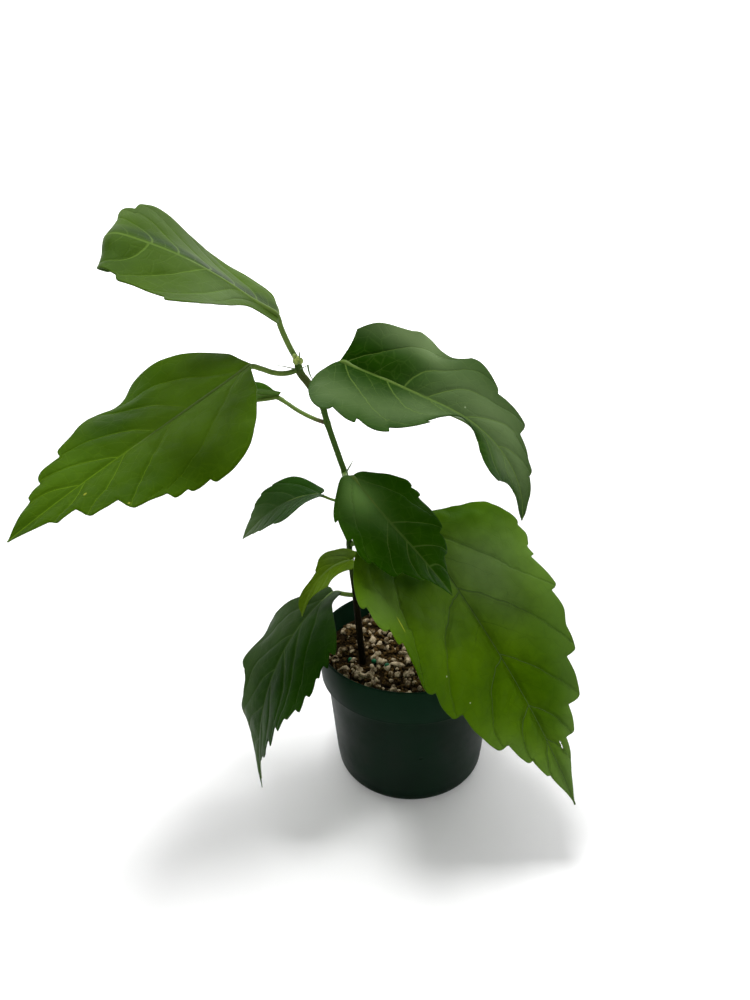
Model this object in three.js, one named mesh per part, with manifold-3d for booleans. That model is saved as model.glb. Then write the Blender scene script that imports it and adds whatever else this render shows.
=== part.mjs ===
// A young hibiscus with one stem, in a thin round nursery pot filled with bark and perlite.
// Millimetres, +Z up, +X to the right of the photograph, +Y away from it.
// The origin is the middle of the pot's flat underside.
import * as THREE from "three";
import { mergeVertices } from "three/addons/utils/BufferGeometryUtils.js";
import Module from "manifold-3d";

const wasm = await Module();
wasm.setup();

// Driving dimensions
const GAP = 0.3; // clear space left between neighbouring pieces

const POT = {
  rimRadius: 52.5, // outside of the rim, 105 mm across
  height: 86,
  lipHeight: 21, // the wider band round the top
  lipTaper: 1.2, // how much narrower the lip is at its foot
  lipEdge: 0.4, // the small chamfer outside the rim
  step: 3, // slanted shoulder under the lip
  wallTopRadius: 48,
  footRadius: 43.5,
  cornerRadius: 7, // rounding between wall and underside
  wall: 1.3,
  floor: 1.6,
  sides: 44,
  cornerSteps: 3,
  drainHoles: 6,
  drainRadius: 4.5,
  drainCircle: 29, // radius that the drain holes stand on
  drainSides: 10,
};

const SOIL = {
  level: 74, // height of its top above the underside of the pot
  dip: 1.8, // deepest hollow in its top
  rings: 5,
  slope: 2, // width of the slope down to the wall
  seat: 11, // flat place round the stem
  clear: POT.wall + GAP + 0.1, // from the outside of the pot
};

const STEM = {
  footRadius: 3.1, // root flare at the soil
  radius: 2.15, // just above the flare
  tipRadius: 1.45,
  flare: 9, // height over which the flare fades
  sides: 10,
  steps: 44,
  // the nodes that it leans and bends between, from the soil to the tip
  path: [
    [-26.3, -8.3, SOIL.level + GAP],
    [-26.3, -8.3, 82],
    [-29.0, -8.3, 119],
    [-31.5, -8.3, 150],
    [-31.2, -8.3, 174],
    [-32.6, -8.3, 191],
    [-41.0, -8.3, 218],
    [-44.6, -8.3, 229],
    [-52.6, -8.3, 243],
    [-53.0, -8.3, 250],
  ],
};

const BLADE = {
  thickness: 0.0115, // of the blade's length
  across: 6,
  baseRows: 7, // rows along the smooth third next to the stalk
  smooth: 0.3, // the share of its length that has no teeth
  start: 0.06, // how blunt the outline is at the stalk
  round: 0.08, // how far the corners beside the stalk are drawn up, of its length
  sweep: 0.1, // how far the veins sweep forward on their way to the margin
  tipHalfWidth: 0.5,
  toothDepth: 0.075, // of the half width
  toothPeak: 0.78, // where a tooth stands furthest out, along its own length
};

const STALK = {
  sides: 8,
  steps: 14,
  run: 0.12, // how far it runs on under the blade as a rib, of the blade's length
  slim: 0.45, // how much thinner it is at the end of the rib
};

// Each leaf: the height of its node, the stalk's bend, and the base of its blade.
// wide is the half width on either side of the midrib.
// heading, pitch and roll are the midrib's angles in degrees at base, middle and tip.
// fold and cup bend the two halves up from the midrib, and wave ripples their margins.
const LEAVES = [
  {
    name: "leaf_top", node: 250, bend: [-57, -11, 260], base: [-60, -17, 272],
    stalk: 1.4, length: 124, wide: [40, 36], teeth: 7,
    heading: [210, 195, 176], pitch: [37, 26, 5], roll: [-20, -30, -52],
    fold: [-8, -12], cup: [36, 22], wave: [4, 1.5, -20, 126],
    tip: 1.18, shoulder: 0.36, lobe: 0, curl: [150, 0.58, 0.14],
  },
  {
    name: "leaf_left", node: 243, bend: [-63, -15, 246], base: [-73, -21, 252],
    stalk: 1.3, length: 132, wide: [45, 33], teeth: 8,
    heading: [198, 224, 239], pitch: [-32, -20, -17], roll: [-21, -20, -12],
    fold: [13, 4], cup: [-19, -10], wave: [4, 2, -72, -33],
    tip: 1.08, shoulder: 0.46, lobe: 0, curl: [0, 0.5, 0.2],
  },
  {
    name: "leaf_right", node: 229, bend: [-38, -18, 240], base: [-32, -24, 253],
    stalk: 1.3, length: 123, wide: [34, 48], teeth: 8,
    heading: [-35, -9, -35], pitch: [-15, -33, -93], roll: [34, 13, 21],
    fold: [14, 11], cup: [7, 21], wave: [6, 2, 49, 96],
    tip: 1.12, shoulder: 0.45, lobe: 0.03, curl: [0, 0.5, 0.2],
  },
  {
    name: "leaf_back", node: 218, bend: [-54, 1, 221], base: [-66, 11, 227],
    stalk: 1.1, length: 60, wide: [16, 16], teeth: 5,
    heading: [172, 178, 182], pitch: [-8, -18, -30], roll: [0, 0, 0],
    fold: [50, 50], cup: [0, 0], wave: [1, 2, 0, 90],
    tip: 1.05, shoulder: 0.45, lobe: 0.04, curl: [0, 0.5, 0.2],
  },
  {
    name: "leaf_centre", node: 191, bend: [-32, -27, 193], base: [-28, -34, 200],
    stalk: 1.2, length: 74, wide: [21, 24], teeth: 6,
    heading: [-52, -40, -31], pitch: [-29, -36, -47], roll: [4, 12, -11],
    fold: [3, 1], cup: [3, -19], wave: [3, 2, -12, 188],
    tip: 1.03, shoulder: 0.6, lobe: 0.02, curl: [0, 0.5, 0.2],
  },
  {
    name: "leaf_small", node: 174, bend: [-41, -10, 177], base: [-46, -11, 181],
    stalk: 0.7, length: 49, wide: [15, 16], teeth: 4,
    heading: [183, 184, 181], pitch: [2, -32, -50], roll: [8, -11, -8],
    fold: [4, 11], cup: [1, 17], wave: [0.5, 2, 0, 0],
    tip: 1.0, shoulder: 0.48, lobe: 0.06, curl: [0, 0.5, 0.2],
  },
  {
    name: "leaf_big", node: 150, bend: [-15, -12, 158], base: [-2, -13, 171],
    stalk: 1.5, length: 172, wide: [54, 57], teeth: 9,
    heading: [-58, -38, -36], pitch: [-31, -51, -64], roll: [-18, 16, 32],
    fold: [18, 7], cup: [-3, 1], wave: [7, 2, 50, 196],
    tip: 1.4, shoulder: 0.4, lobe: 0, curl: [0, 0.5, 0.2],
  },
  {
    name: "leaf_twisted", node: 142, bend: [-30.5, -16, 144], base: [-31.3, -20, 147],
    stalk: 1.0, length: 43, wide: [13, 9], teeth: 4,
    heading: [188, 194, 192], pitch: [-5, -51, -76], roll: [-33, -38, -46],
    fold: [25, 25], cup: [6, 4], wave: [2.5, 1.5, -8, 0],
    tip: 1.02, shoulder: 0.36, lobe: 0.04, curl: [0, 0.5, 0.2],
  },
  {
    name: "leaf_low", node: 119, bend: [-36, -10, 119.5], base: [-41.5, -11, 123],
    stalk: 1.3, length: 128, wide: [37, 30], teeth: 8,
    heading: [223, 218, 209], pitch: [-10, -66, -91], roll: [11, 7, 11],
    fold: [12, 0], cup: [-13, -5], wave: [5, 1.5, 112, 119],
    tip: 1.11, shoulder: 0.49, lobe: 0.06, curl: [0, 0.5, 0.2],
  },
];

// The cluster of young buds in front of the top leaf's stalk, with its stipules
const BUDS = {
  main: { at: [-51.9, -11.6, 250.6], size: [2.0, 1.8, 2.3] },
  side: { at: [-53.6, -12.4, 252.8], size: [1.1, 1.1, 1.4] },
  stipules: [
    { from: [-51.4, -12.4, 251], to: [-50.8, -13, 256] },
    { from: [-52.6, -12.9, 250], to: [-54.6, -14.5, 254.6] },
  ],
  stipuleRadius: 0.4, // at its foot
  stipulePoint: 0.16, // at its tip
  stipuleSides: 5,
};

const rad = THREE.MathUtils.degToRad;

// Solids

function toSolid(geometry) {
  const bare = geometry.clone();
  bare.deleteAttribute("normal");
  bare.deleteAttribute("uv");
  const merged = mergeVertices(bare, 1e-4);
  return new wasm.Manifold(new wasm.Mesh({
    numProp: 3,
    vertProperties: new Float32Array(merged.attributes.position.array),
    triVerts: new Uint32Array(merged.index.array),
  }));
}

function toGeometry(solid) {
  const mesh = solid.getMesh();
  const geometry = new THREE.BufferGeometry();
  geometry.setAttribute("position", new THREE.BufferAttribute(mesh.vertProperties, 3));
  geometry.setIndex(new THREE.BufferAttribute(mesh.triVerts, 1));
  geometry.computeVertexNormals();
  return geometry;
}

const points = (list) => list.map((p) => new THREE.Vector3(...p));

// A round limb that tapers: a cylinder whose rings are carried along a curve
function limb(curve, radiusAt, sides, steps) {
  const geometry = new THREE.CylinderGeometry(1, 1, 1, sides, steps);
  const frames = curve.computeFrenetFrames(steps, false);
  const place = geometry.attributes.position;
  const at = new THREE.Vector3();
  for (let i = 0; i < place.count; i += 1) {
    const step = Math.round((0.5 - place.getY(i)) * steps);
    const radius = radiusAt(step / steps);
    curve.getPointAt(step / steps, at);
    at.addScaledVector(frames.normals[step], place.getX(i) * radius);
    at.addScaledVector(frames.binormals[step], -place.getZ(i) * radius);
    place.setXYZ(i, at.x, at.y, at.z);
  }
  return turnOut(geometry);
}

// Faces point outwards: a solid that comes out inside out has its triangles reversed
function turnOut(geometry) {
  const solid = toSolid(geometry);
  if (solid.volume() > 0) return solid;
  const index = geometry.index.array;
  for (let i = 0; i < index.length; i += 3) {
    [index[i], index[i + 1]] = [index[i + 1], index[i]];
  }
  return toSolid(geometry);
}

// Leaves

// A value that runs smoothly through its base, middle and tip settings
function along([base, middle, tip], s) {
  return base * (1 - s) * (1 - 2 * s) + middle * 4 * s * (1 - s) + tip * s * (2 * s - 1);
}

// The midrib, stepped out from the base of the blade, with the frame across it
function midrib(leaf, steps = 60) {
  const frames = [];
  const at = new THREE.Vector3(...leaf.base);
  const [curl, curlFrom, curlRun] = leaf.curl;
  for (let i = 0; i <= steps; i += 1) {
    const s = i / steps;
    const h = rad(along(leaf.heading, s));
    const p = rad(along(leaf.pitch, s));
    const r = rad(along(leaf.roll, s));
    const T = new THREE.Vector3(Math.cos(p) * Math.cos(h), Math.cos(p) * Math.sin(h), Math.sin(p));
    const level = new THREE.Vector3(-Math.sin(h), Math.cos(h), 0);
    const up = T.clone().cross(level);
    const B = level.clone().multiplyScalar(Math.cos(r)).addScaledVector(up, Math.sin(r));
    const N = up.clone().multiplyScalar(Math.cos(r)).addScaledVector(level, -Math.sin(r));
    const turned = rad(curl) * THREE.MathUtils.smoothstep(s, curlFrom, curlFrom + curlRun);
    T.applyAxisAngle(B, turned);
    N.applyAxisAngle(B, turned);
    if (i > 0) at.addScaledVector(frames[i - 1].T.clone().add(T), leaf.length / steps / 2);
    frames.push({ at: at.clone(), T, B, N });
  }
  return frames;
}

function frameAt(frames, s) {
  const place = THREE.MathUtils.clamp(s, 0, 1) * (frames.length - 1);
  const i = Math.min(Math.floor(place), frames.length - 2);
  const mix = (key) => frames[i][key].clone().lerp(frames[i + 1][key], place - i);
  return { at: mix("at"), T: mix("T").normalize(), B: mix("B").normalize(), N: mix("N").normalize() };
}

// The outline of an ovate leaf: 1 at its widest, a point at the tip
function outline(leaf, u) {
  const shape = (s) => (1 - s) ** leaf.tip * (s + BLADE.start) ** leaf.shoulder;
  const widest = (leaf.shoulder - leaf.tip * BLADE.start) / (leaf.tip + leaf.shoulder);
  return shape(u) / shape(widest);
}

// Rows across the blade: a smooth base, then a notch and a peak for every tooth
function bladeRows(leaf) {
  const { smooth, baseRows } = BLADE;
  const rows = [];
  for (let i = 0; i < baseRows; i += 1) rows.push({ u: (smooth * i) / baseRows, out: 0 });
  for (let t = 0; t < leaf.teeth; t += 1) {
    const tooth = (place) => smooth + ((1 - smooth) * (t + place)) / leaf.teeth;
    rows.push({ u: tooth(0), out: -0.5 });
    rows.push({ u: tooth(BLADE.toothPeak), out: 0.5 });
  }
  rows.push({ u: 1, out: 0 });
  return rows;
}

// A point of the blade: u along it, v across it from -1 to 1, lift through its thickness
function bladePoint(leaf, frames, u, v, out, lift) {
  const side = v < 0 ? 1 : 0;
  const d = Math.abs(v);
  const full = leaf.wide[side];
  const reach = Math.max(full * outline(leaf, u) * (1 + out * BLADE.toothDepth), BLADE.tipHalfWidth);
  const across = d * reach;
  const lobes = leaf.lobe * Math.sin(Math.PI * d ** 0.9);
  const corners = (1 - u) ** 4 * (BLADE.round * d ** 3 - lobes);
  const s = u + corners + BLADE.sweep * u * (1 - u) * d ** 1.5;
  const { at, T, B, N } = frameAt(frames, s);
  if (s < 0) at.addScaledVector(T, s * leaf.length);
  const fold = rad(leaf.fold[side]);
  const bend = rad(leaf.cup[side]) / full + 1e-5;
  const angle = fold + bend * across;
  const sideways = (Math.sin(angle) - Math.sin(fold)) / bend;
  const [height, count, ...phase] = leaf.wave;
  const ripple = height * (across / full) ** 2 * Math.sin(2 * Math.PI * count * s + rad(phase[side]));
  const upwards = (Math.cos(fold) - Math.cos(angle)) / bend + ripple;
  const hand = side === 0 ? 1 : -1;
  at.addScaledVector(B, hand * (sideways - lift * Math.sin(angle)));
  at.addScaledVector(N, upwards + lift * Math.cos(angle));
  return at;
}

// The blade: a flat box of rows, bent into the leaf's shape
function bladeSolid(leaf, frames) {
  const rows = bladeRows(leaf);
  const steps = rows.length - 1;
  const geometry = new THREE.BoxGeometry(2, 1, 1, BLADE.across, steps, 1);
  const place = geometry.attributes.position;
  const thickness = leaf.length * BLADE.thickness;
  for (let i = 0; i < place.count; i += 1) {
    const row = rows[Math.round((place.getY(i) + 0.5) * steps)];
    const at = bladePoint(leaf, frames, row.u, place.getX(i), row.out, place.getZ(i) * thickness);
    place.setXYZ(i, at.x, at.y, at.z);
  }
  return turnOut(geometry);
}

// How far from the stem's middle a stalk's flat end starts, so that its edge keeps the gap.
// The top leaf's stalk carries on from the flat tip of the stem.
function clearOfStem(node, leave, stalkRadius) {
  const alongStem = leave.dot(node.tangent);
  const sideways = Math.sqrt(1 - alongStem ** 2);
  if (node.t > 0.999) return (GAP + stalkRadius * sideways) / alongStem;
  return (stemRadius(node.t) + GAP + stalkRadius * Math.abs(alongStem)) / sideways;
}

// The stalk: from just clear of the stem, round its bend, and on under the blade as a rib
function stalkSolid(leaf, frames) {
  const base = new THREE.Vector3(...leaf.base);
  const bend = new THREE.Vector3(...leaf.bend);
  const node = stemAt(leaf.node);
  const leave = bend.clone().sub(node.at).normalize();
  const start = node.at.clone().addScaledVector(leave, clearOfStem(node, leave, leaf.stalk));
  const thickness = leaf.length * BLADE.thickness;
  const under = (s) => {
    const { at, N } = frameAt(frames, s);
    return at.addScaledVector(N, -thickness * 0.5);
  };
  const route = [start];
  const arc = new THREE.QuadraticBezierCurve3(start, bend, base);
  for (let i = 1; i <= 4; i += 1) route.push(arc.getPoint(i / 5));
  route.push(under(0.01), under(STALK.run / 2), under(STALK.run));
  const curve = new THREE.CatmullRomCurve3(route);
  const radiusAt = (t) => leaf.stalk * (1 - STALK.slim * THREE.MathUtils.smoothstep(t, 0.6, 1));
  return limb(curve, radiusAt, STALK.sides, STALK.steps);
}

function leafSolid(leaf) {
  const frames = midrib(leaf);
  return bladeSolid(leaf, frames).add(stalkSolid(leaf, frames));
}

// Stem and buds

const stemCurve = new THREE.CatmullRomCurve3(points(STEM.path));

// The thickness of the stem, from the flare at the soil to its tip
function stemRadius(t) {
  const flare = Math.exp((-2 * t * stemCurve.getLength()) / STEM.flare);
  return STEM.radius + (STEM.tipRadius - STEM.radius) * t + (STEM.footRadius - STEM.radius) * flare;
}

// The middle of the stem at a height
function stemAt(height) {
  let low = 0;
  let high = 1;
  for (let i = 0; i < 30; i += 1) {
    const t = (low + high) / 2;
    if (stemCurve.getPointAt(t).z < height) low = t;
    else high = t;
  }
  return { t: low, at: stemCurve.getPointAt(low), tangent: stemCurve.getTangentAt(low) };
}

function stemSolid() {
  return limb(stemCurve, stemRadius, STEM.sides, STEM.steps);
}

function budSolid() {
  const bud = ({ at, size }) => {
    const ball = new THREE.IcosahedronGeometry(1, 1);
    ball.scale(...size);
    ball.translate(...at);
    return toSolid(ball);
  };
  let solid = bud(BUDS.main).add(bud(BUDS.side));
  const { stipuleRadius, stipulePoint, stipuleSides } = BUDS;
  const taper = (t) => THREE.MathUtils.lerp(stipuleRadius, stipulePoint, t);
  for (const { from, to } of BUDS.stipules) {
    const line = new THREE.LineCurve3(new THREE.Vector3(...from), new THREE.Vector3(...to));
    solid = solid.add(limb(line, taper, stipuleSides, 2));
  }
  return solid;
}

// Pot and soil

// Half of the pot's section, from the middle of its floor out and up, and back down inside
function potProfile() {
  const { rimRadius, height, wall, floor, cornerRadius, footRadius, wallTopRadius } = POT;
  const lipFoot = height - POT.lipHeight;
  const lipFootRadius = rimRadius - POT.lipTaper;
  // the round corner turns from the level floor to the leaning wall
  const corner = (inset) => {
    const arc = [];
    const lean = Math.atan2(wallTopRadius - footRadius, lipFoot - POT.step);
    for (let i = 0; i <= POT.cornerSteps; i += 1) {
      const a = -Math.PI / 2 + ((Math.PI / 2 - lean) * i) / POT.cornerSteps;
      const r = cornerRadius - inset;
      const centre = footRadius - cornerRadius;
      arc.push([centre + r * Math.cos(a), cornerRadius + r * Math.sin(a)]);
    }
    return arc;
  };
  const outside = [
    [0, 0],
    ...corner(0),
    [wallTopRadius, lipFoot - POT.step],
    [lipFootRadius, lipFoot],
    [rimRadius, height - 2 * POT.lipEdge],
    [rimRadius - POT.lipEdge, height],
  ];
  const inside = [
    [rimRadius - wall, height],
    [lipFootRadius - wall, lipFoot + wall / 2],
    [wallTopRadius - wall, lipFoot - POT.step],
    ...corner(floor).reverse(),
    [0, floor],
  ];
  return [...outside, ...inside].map(([x, y]) => new THREE.Vector2(x, y));
}

// Turned shapes are made about Y and then stood up along Z
function turned(profile, sides) {
  return turnOut(new THREE.LatheGeometry(profile, sides).rotateX(Math.PI / 2));
}

function potSolid() {
  let solid = turned(potProfile(), POT.sides);
  for (let i = 0; i < POT.drainHoles; i += 1) {
    const a = (i / POT.drainHoles) * Math.PI * 2;
    const { drainRadius, drainSides, floor } = POT;
    const drill = new THREE.CylinderGeometry(drainRadius, drainRadius, floor * 4, drainSides);
    drill.rotateX(Math.PI / 2);
    drill.translate(POT.drainCircle * Math.cos(a), POT.drainCircle * Math.sin(a), 0);
    solid = solid.subtract(toSolid(drill));
  }
  return solid;
}

// The soil fills the pot, clear of its wall, with low hollows away from the stem
function soilSolid() {
  const { level, clear } = SOIL;
  const lipFoot = POT.height - POT.lipHeight;
  const bottom = POT.floor + GAP;
  const upTheLip = (level - lipFoot) / POT.lipHeight;
  const edge = POT.rimRadius - POT.lipTaper * (1 - upTheLip) - clear;
  const profile = [
    [0, bottom],
    [POT.footRadius - POT.cornerRadius, bottom],
    [POT.footRadius - 1.3 * clear, POT.cornerRadius + clear / 2],
    [POT.wallTopRadius - clear, lipFoot - POT.step],
    [POT.rimRadius - POT.lipTaper - clear, lipFoot + POT.wall],
    [edge, level - SOIL.dip],
  ];
  for (let i = SOIL.rings; i >= 0; i -= 1) {
    profile.push([((edge - SOIL.slope) * i) / SOIL.rings, level]);
  }
  const geometry = new THREE.LatheGeometry(profile.map((p) => new THREE.Vector2(...p)), POT.sides);
  geometry.rotateX(Math.PI / 2);
  const place = geometry.attributes.position;
  const [stemX, stemY] = STEM.path[0];
  for (let i = 0; i < place.count; i += 1) {
    if (place.getZ(i) < level - SOIL.dip / 2) continue;
    const x = place.getX(i);
    const y = place.getY(i);
    const away = THREE.MathUtils.smoothstep(Math.hypot(x - stemX, y - stemY), SOIL.seat, SOIL.seat * 2);
    const lumps = Math.sin(x * 0.31 + 1) * Math.sin(y * 0.27) + Math.sin(x * 0.13 - y * 0.19);
    place.setZ(i, level - SOIL.dip * away * (0.5 + 0.25 * lumps));
  }
  return turnOut(geometry);
}

// Materials
const finish = (color, roughness) => new THREE.MeshStandardMaterial({ color, roughness, metalness: 0 });
const potPlastic = () => finish(0x22332c, 0.45);
const barkMix = () => finish(0x4a3a2c, 0.95);
const greenBark = () => finish(0x5b6a3a, 0.65);
const leafGreen = () => finish(0x3d6a26, 0.5);
const budGreen = () => finish(0x8fa04a, 0.6);

const plant = new THREE.Group();
plant.name = "potted_hibiscus";

function piece(name, solid, material) {
  const mesh = new THREE.Mesh(toGeometry(solid), material);
  mesh.name = name;
  plant.add(mesh);
}

piece("pot", potSolid(), potPlastic());
piece("soil", soilSolid(), barkMix());
piece("stem", stemSolid(), greenBark());
for (const leaf of LEAVES) piece(leaf.name, leafSolid(leaf), leafGreen());
piece("buds", budSolid(), budGreen());

export default plant;
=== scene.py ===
import math
import random
from bisect import bisect_right
from functools import lru_cache

import bmesh
import bpy
from mathutils import Matrix, Quaternion, Vector, noise


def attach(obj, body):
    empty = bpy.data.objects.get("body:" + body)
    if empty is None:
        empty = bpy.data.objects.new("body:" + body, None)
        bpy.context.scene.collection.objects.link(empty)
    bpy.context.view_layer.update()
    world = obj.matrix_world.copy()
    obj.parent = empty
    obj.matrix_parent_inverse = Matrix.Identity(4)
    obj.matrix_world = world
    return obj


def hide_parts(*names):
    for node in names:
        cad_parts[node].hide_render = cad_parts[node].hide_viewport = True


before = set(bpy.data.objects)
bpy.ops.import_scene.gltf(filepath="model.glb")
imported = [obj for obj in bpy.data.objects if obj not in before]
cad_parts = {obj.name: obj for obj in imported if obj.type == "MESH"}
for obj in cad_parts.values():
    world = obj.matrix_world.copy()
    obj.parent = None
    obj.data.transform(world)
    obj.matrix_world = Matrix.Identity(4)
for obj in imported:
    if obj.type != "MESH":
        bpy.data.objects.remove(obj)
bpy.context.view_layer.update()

# Nursery pot: thin dark green plastic, moulded in one piece with a wider lip round the top.
# Its underside is flat, with six drain holes in a ring, and a mark shows in front where the mould let go.
# Lengths are in millimetres from the middle of the pot's foot, and colours are red, green and blue.
MM = 0.001
RIM_RADIUS = 52.5
POT_HEIGHT = 86
LIP_HEIGHT = 21
LIP_FOOT = POT_HEIGHT - LIP_HEIGHT
LIP_TAPER = 1.2
SHOULDER = 3
WALL_TOP_RADIUS = 48
FOOT_RADIUS = 43.5
FOOT_CORNER = 7
POT_WALL = 1.3
POT_FLOOR = 1.6
DRAIN_HOLES = 6
DRAIN_RADIUS = 4.5
DRAIN_CIRCLE = 29
# a faint step runs round the body this high above the foot
FOOT_BAND = 12
RIM_ROUND = 0.25
MOULD_MARK = (4, -45.8, 36.5)
POT_GREEN = (0.0016, 0.0072, 0.0032)
POT_GREEN_PALE = (0.0030, 0.0120, 0.0056)
# a paler green painted on the lip as painted light
POT_LIP_PAINTED_LIGHT = (0.0046, 0.0180, 0.0080)
POT_DIMPLE = (0.002, 0.004, 0.003)


def build_piece(name, bm, finishes, slot, *nodes):
    """A finished bmesh in millimetres becomes a piece that stands for CAD nodes and rides on the root."""
    bm.transform(Matrix.Scale(MM, 4))
    mesh = bpy.data.meshes.new(name)
    bm.to_mesh(mesh)
    bm.free()
    for finish in finishes:
        mesh.materials.append(finish)
    mesh.shade_smooth()
    piece = bpy.data.objects.new(name, mesh)
    bpy.context.scene.collection.objects.link(piece)
    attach(piece, "root")
    if nodes:
        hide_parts(*nodes)
    return piece


def opaque(value):
    """A colour gets the full alpha that its socket asks for, and a plain number stays as it is."""
    return (*value, 1) if isinstance(value, tuple) else value


def new_finish(name, **sockets):
    """A material with one shader, whose plain values are set on its own sockets."""
    finish = bpy.data.materials.new(name)
    finish.use_nodes = True
    shader = finish.node_tree.nodes["Principled BSDF"]
    for socket, value in sockets.items():
        shader.inputs[socket.replace("_", " ")].default_value = opaque(value)
    return finish, finish.node_tree, shader


def add(tree, kind, inputs=None, **settings):
    """A shader node with its settings, and its inputs set or linked."""
    made = tree.nodes.new("ShaderNode" + kind)
    for key, value in settings.items():
        setattr(made, key, value)
    for key, value in (inputs or {}).items():
        if isinstance(value, bpy.types.NodeSocket):
            tree.links.new(value, made.inputs[key])
        else:
            made.inputs[key].default_value = value
    return made


def calc(tree, operation, a, b=0.0, c=0.0):
    return add(tree, "Math", {0: a, 1: b, 2: c}, operation=operation).outputs[0]


def blend_colours(tree, share, first, second, blend="MIX"):
    inputs = {"Factor": share, "A": first, "B": second}
    made = tree.nodes.new("ShaderNodeMix")
    made.data_type = "RGBA"
    made.blend_type = blend
    for key, value in inputs.items():
        socket = next(s for s in made.inputs if s.name == key and s.enabled)
        if isinstance(value, bpy.types.NodeSocket):
            tree.links.new(value, socket)
        else:
            socket.default_value = opaque(value)
    return next(s for s in made.outputs if s.enabled)


def ease(tree, value, low, high, to_low=0.0, to_high=1.0):
    """Runs smoothly from one value to another as the input goes from low to high."""
    inputs = {"Value": value, "From Min": low, "From Max": high, "To Min": to_low, "To Max": to_high}
    return add(tree, "MapRange", inputs, interpolation_type="SMOOTHSTEP").outputs[0]


def split(tree, vector):
    return add(tree, "SeparateXYZ", {0: vector}).outputs


def object_place(tree):
    return add(tree, "TexCoord").outputs["Object"]


def cloudy(tree, place, scale, detail, roughness=0.5):
    """A cloudy noise from 0 to 1, where scale is how many clouds fit in one unit of the place."""
    look = {"Vector": place, "Scale": scale, "Detail": detail, "Roughness": roughness}
    return add(tree, "TexNoise", look).outputs[0]


def coat(tree, shader, colour, height, strength, distance):
    """Gives the shader its colour, and a relief whose full height is a distance in metres."""
    bump = add(tree, "Bump", {"Height": height, "Strength": strength, "Distance": distance})
    tree.links.new(bump.outputs[0], shader.inputs["Normal"])
    tree.links.new(colour, shader.inputs["Base Color"])


def pot_profile():
    """Radius and height of the wall: up the outside, over the rim and down the inside."""
    lean = math.atan2(WALL_TOP_RADIUS - FOOT_RADIUS, LIP_FOOT - SHOULDER)
    centre = FOOT_RADIUS - FOOT_CORNER

    def corner(inset, steps=8):
        for i in range(steps + 1):
            a = -math.pi / 2 + (math.pi / 2 - lean) * i / steps
            r = FOOT_CORNER - inset
            yield centre + r * math.cos(a), FOOT_CORNER + r * math.sin(a)

    lip_foot_radius = RIM_RADIUS - LIP_TAPER
    outside = [
        (0, 0),
        *corner(0),
        (FOOT_RADIUS + 0.6, FOOT_BAND),
        (FOOT_RADIUS + 0.75, FOOT_BAND + 0.4),
        (WALL_TOP_RADIUS, LIP_FOOT - SHOULDER),
        (lip_foot_radius, LIP_FOOT - 0.6),
        (lip_foot_radius + 0.15, LIP_FOOT),
        (RIM_RADIUS, POT_HEIGHT - 1.0),
        (RIM_RADIUS - RIM_ROUND, POT_HEIGHT - RIM_ROUND),
        (RIM_RADIUS - POT_WALL / 2, POT_HEIGHT),
    ]
    inside = [
        (RIM_RADIUS - POT_WALL + RIM_ROUND, POT_HEIGHT - RIM_ROUND),
        (RIM_RADIUS - POT_WALL, POT_HEIGHT - 1.0),
        (lip_foot_radius - POT_WALL, LIP_FOOT + POT_WALL / 2),
        (WALL_TOP_RADIUS - POT_WALL, LIP_FOOT - SHOULDER),
        *reversed(list(corner(POT_FLOOR))),
        (0, POT_FLOOR),
    ]
    return outside + inside


def turn(profile, steps):
    """A profile of radius and height, turned once round the middle of the pot."""
    bm = bmesh.new()
    line = [bm.verts.new((r, 0, z)) for r, z in profile]
    edges = [bm.edges.new(pair) for pair in zip(line, line[1:])]
    bmesh.ops.spin(
        bm, geom=line + edges, cent=(0, 0, 0), axis=(0, 0, 1), angle=math.tau, steps=steps, use_merge=True
    )
    bmesh.ops.remove_doubles(bm, verts=bm.verts, dist=0.01)
    bmesh.ops.recalc_face_normals(bm, faces=bm.faces)
    return bm


def drill_drain_holes(pot):
    bm = bmesh.new()
    for i in range(DRAIN_HOLES):
        a = math.tau * i / DRAIN_HOLES
        place = Matrix.Translation((DRAIN_CIRCLE * math.cos(a), DRAIN_CIRCLE * math.sin(a), 0))
        bmesh.ops.create_cone(
            bm, cap_ends=True, segments=28, radius1=DRAIN_RADIUS, radius2=DRAIN_RADIUS,
            depth=POT_FLOOR * 4, matrix=place,
        )
    bm.transform(Matrix.Scale(MM, 4))
    mesh = bpy.data.meshes.new("drain_drills")
    bm.to_mesh(mesh)
    bm.free()
    drills = bpy.data.objects.new("drain_drills", mesh)
    bpy.context.scene.collection.objects.link(drills)
    cut = pot.modifiers.new("drain_holes", "BOOLEAN")
    cut.operation = "DIFFERENCE"
    cut.solver = "EXACT"
    cut.object = drills
    graph = bpy.context.evaluated_depsgraph_get()
    pot.data = bpy.data.meshes.new_from_object(pot.evaluated_get(graph))
    pot.modifiers.remove(cut)
    bpy.data.objects.remove(drills)


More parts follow.
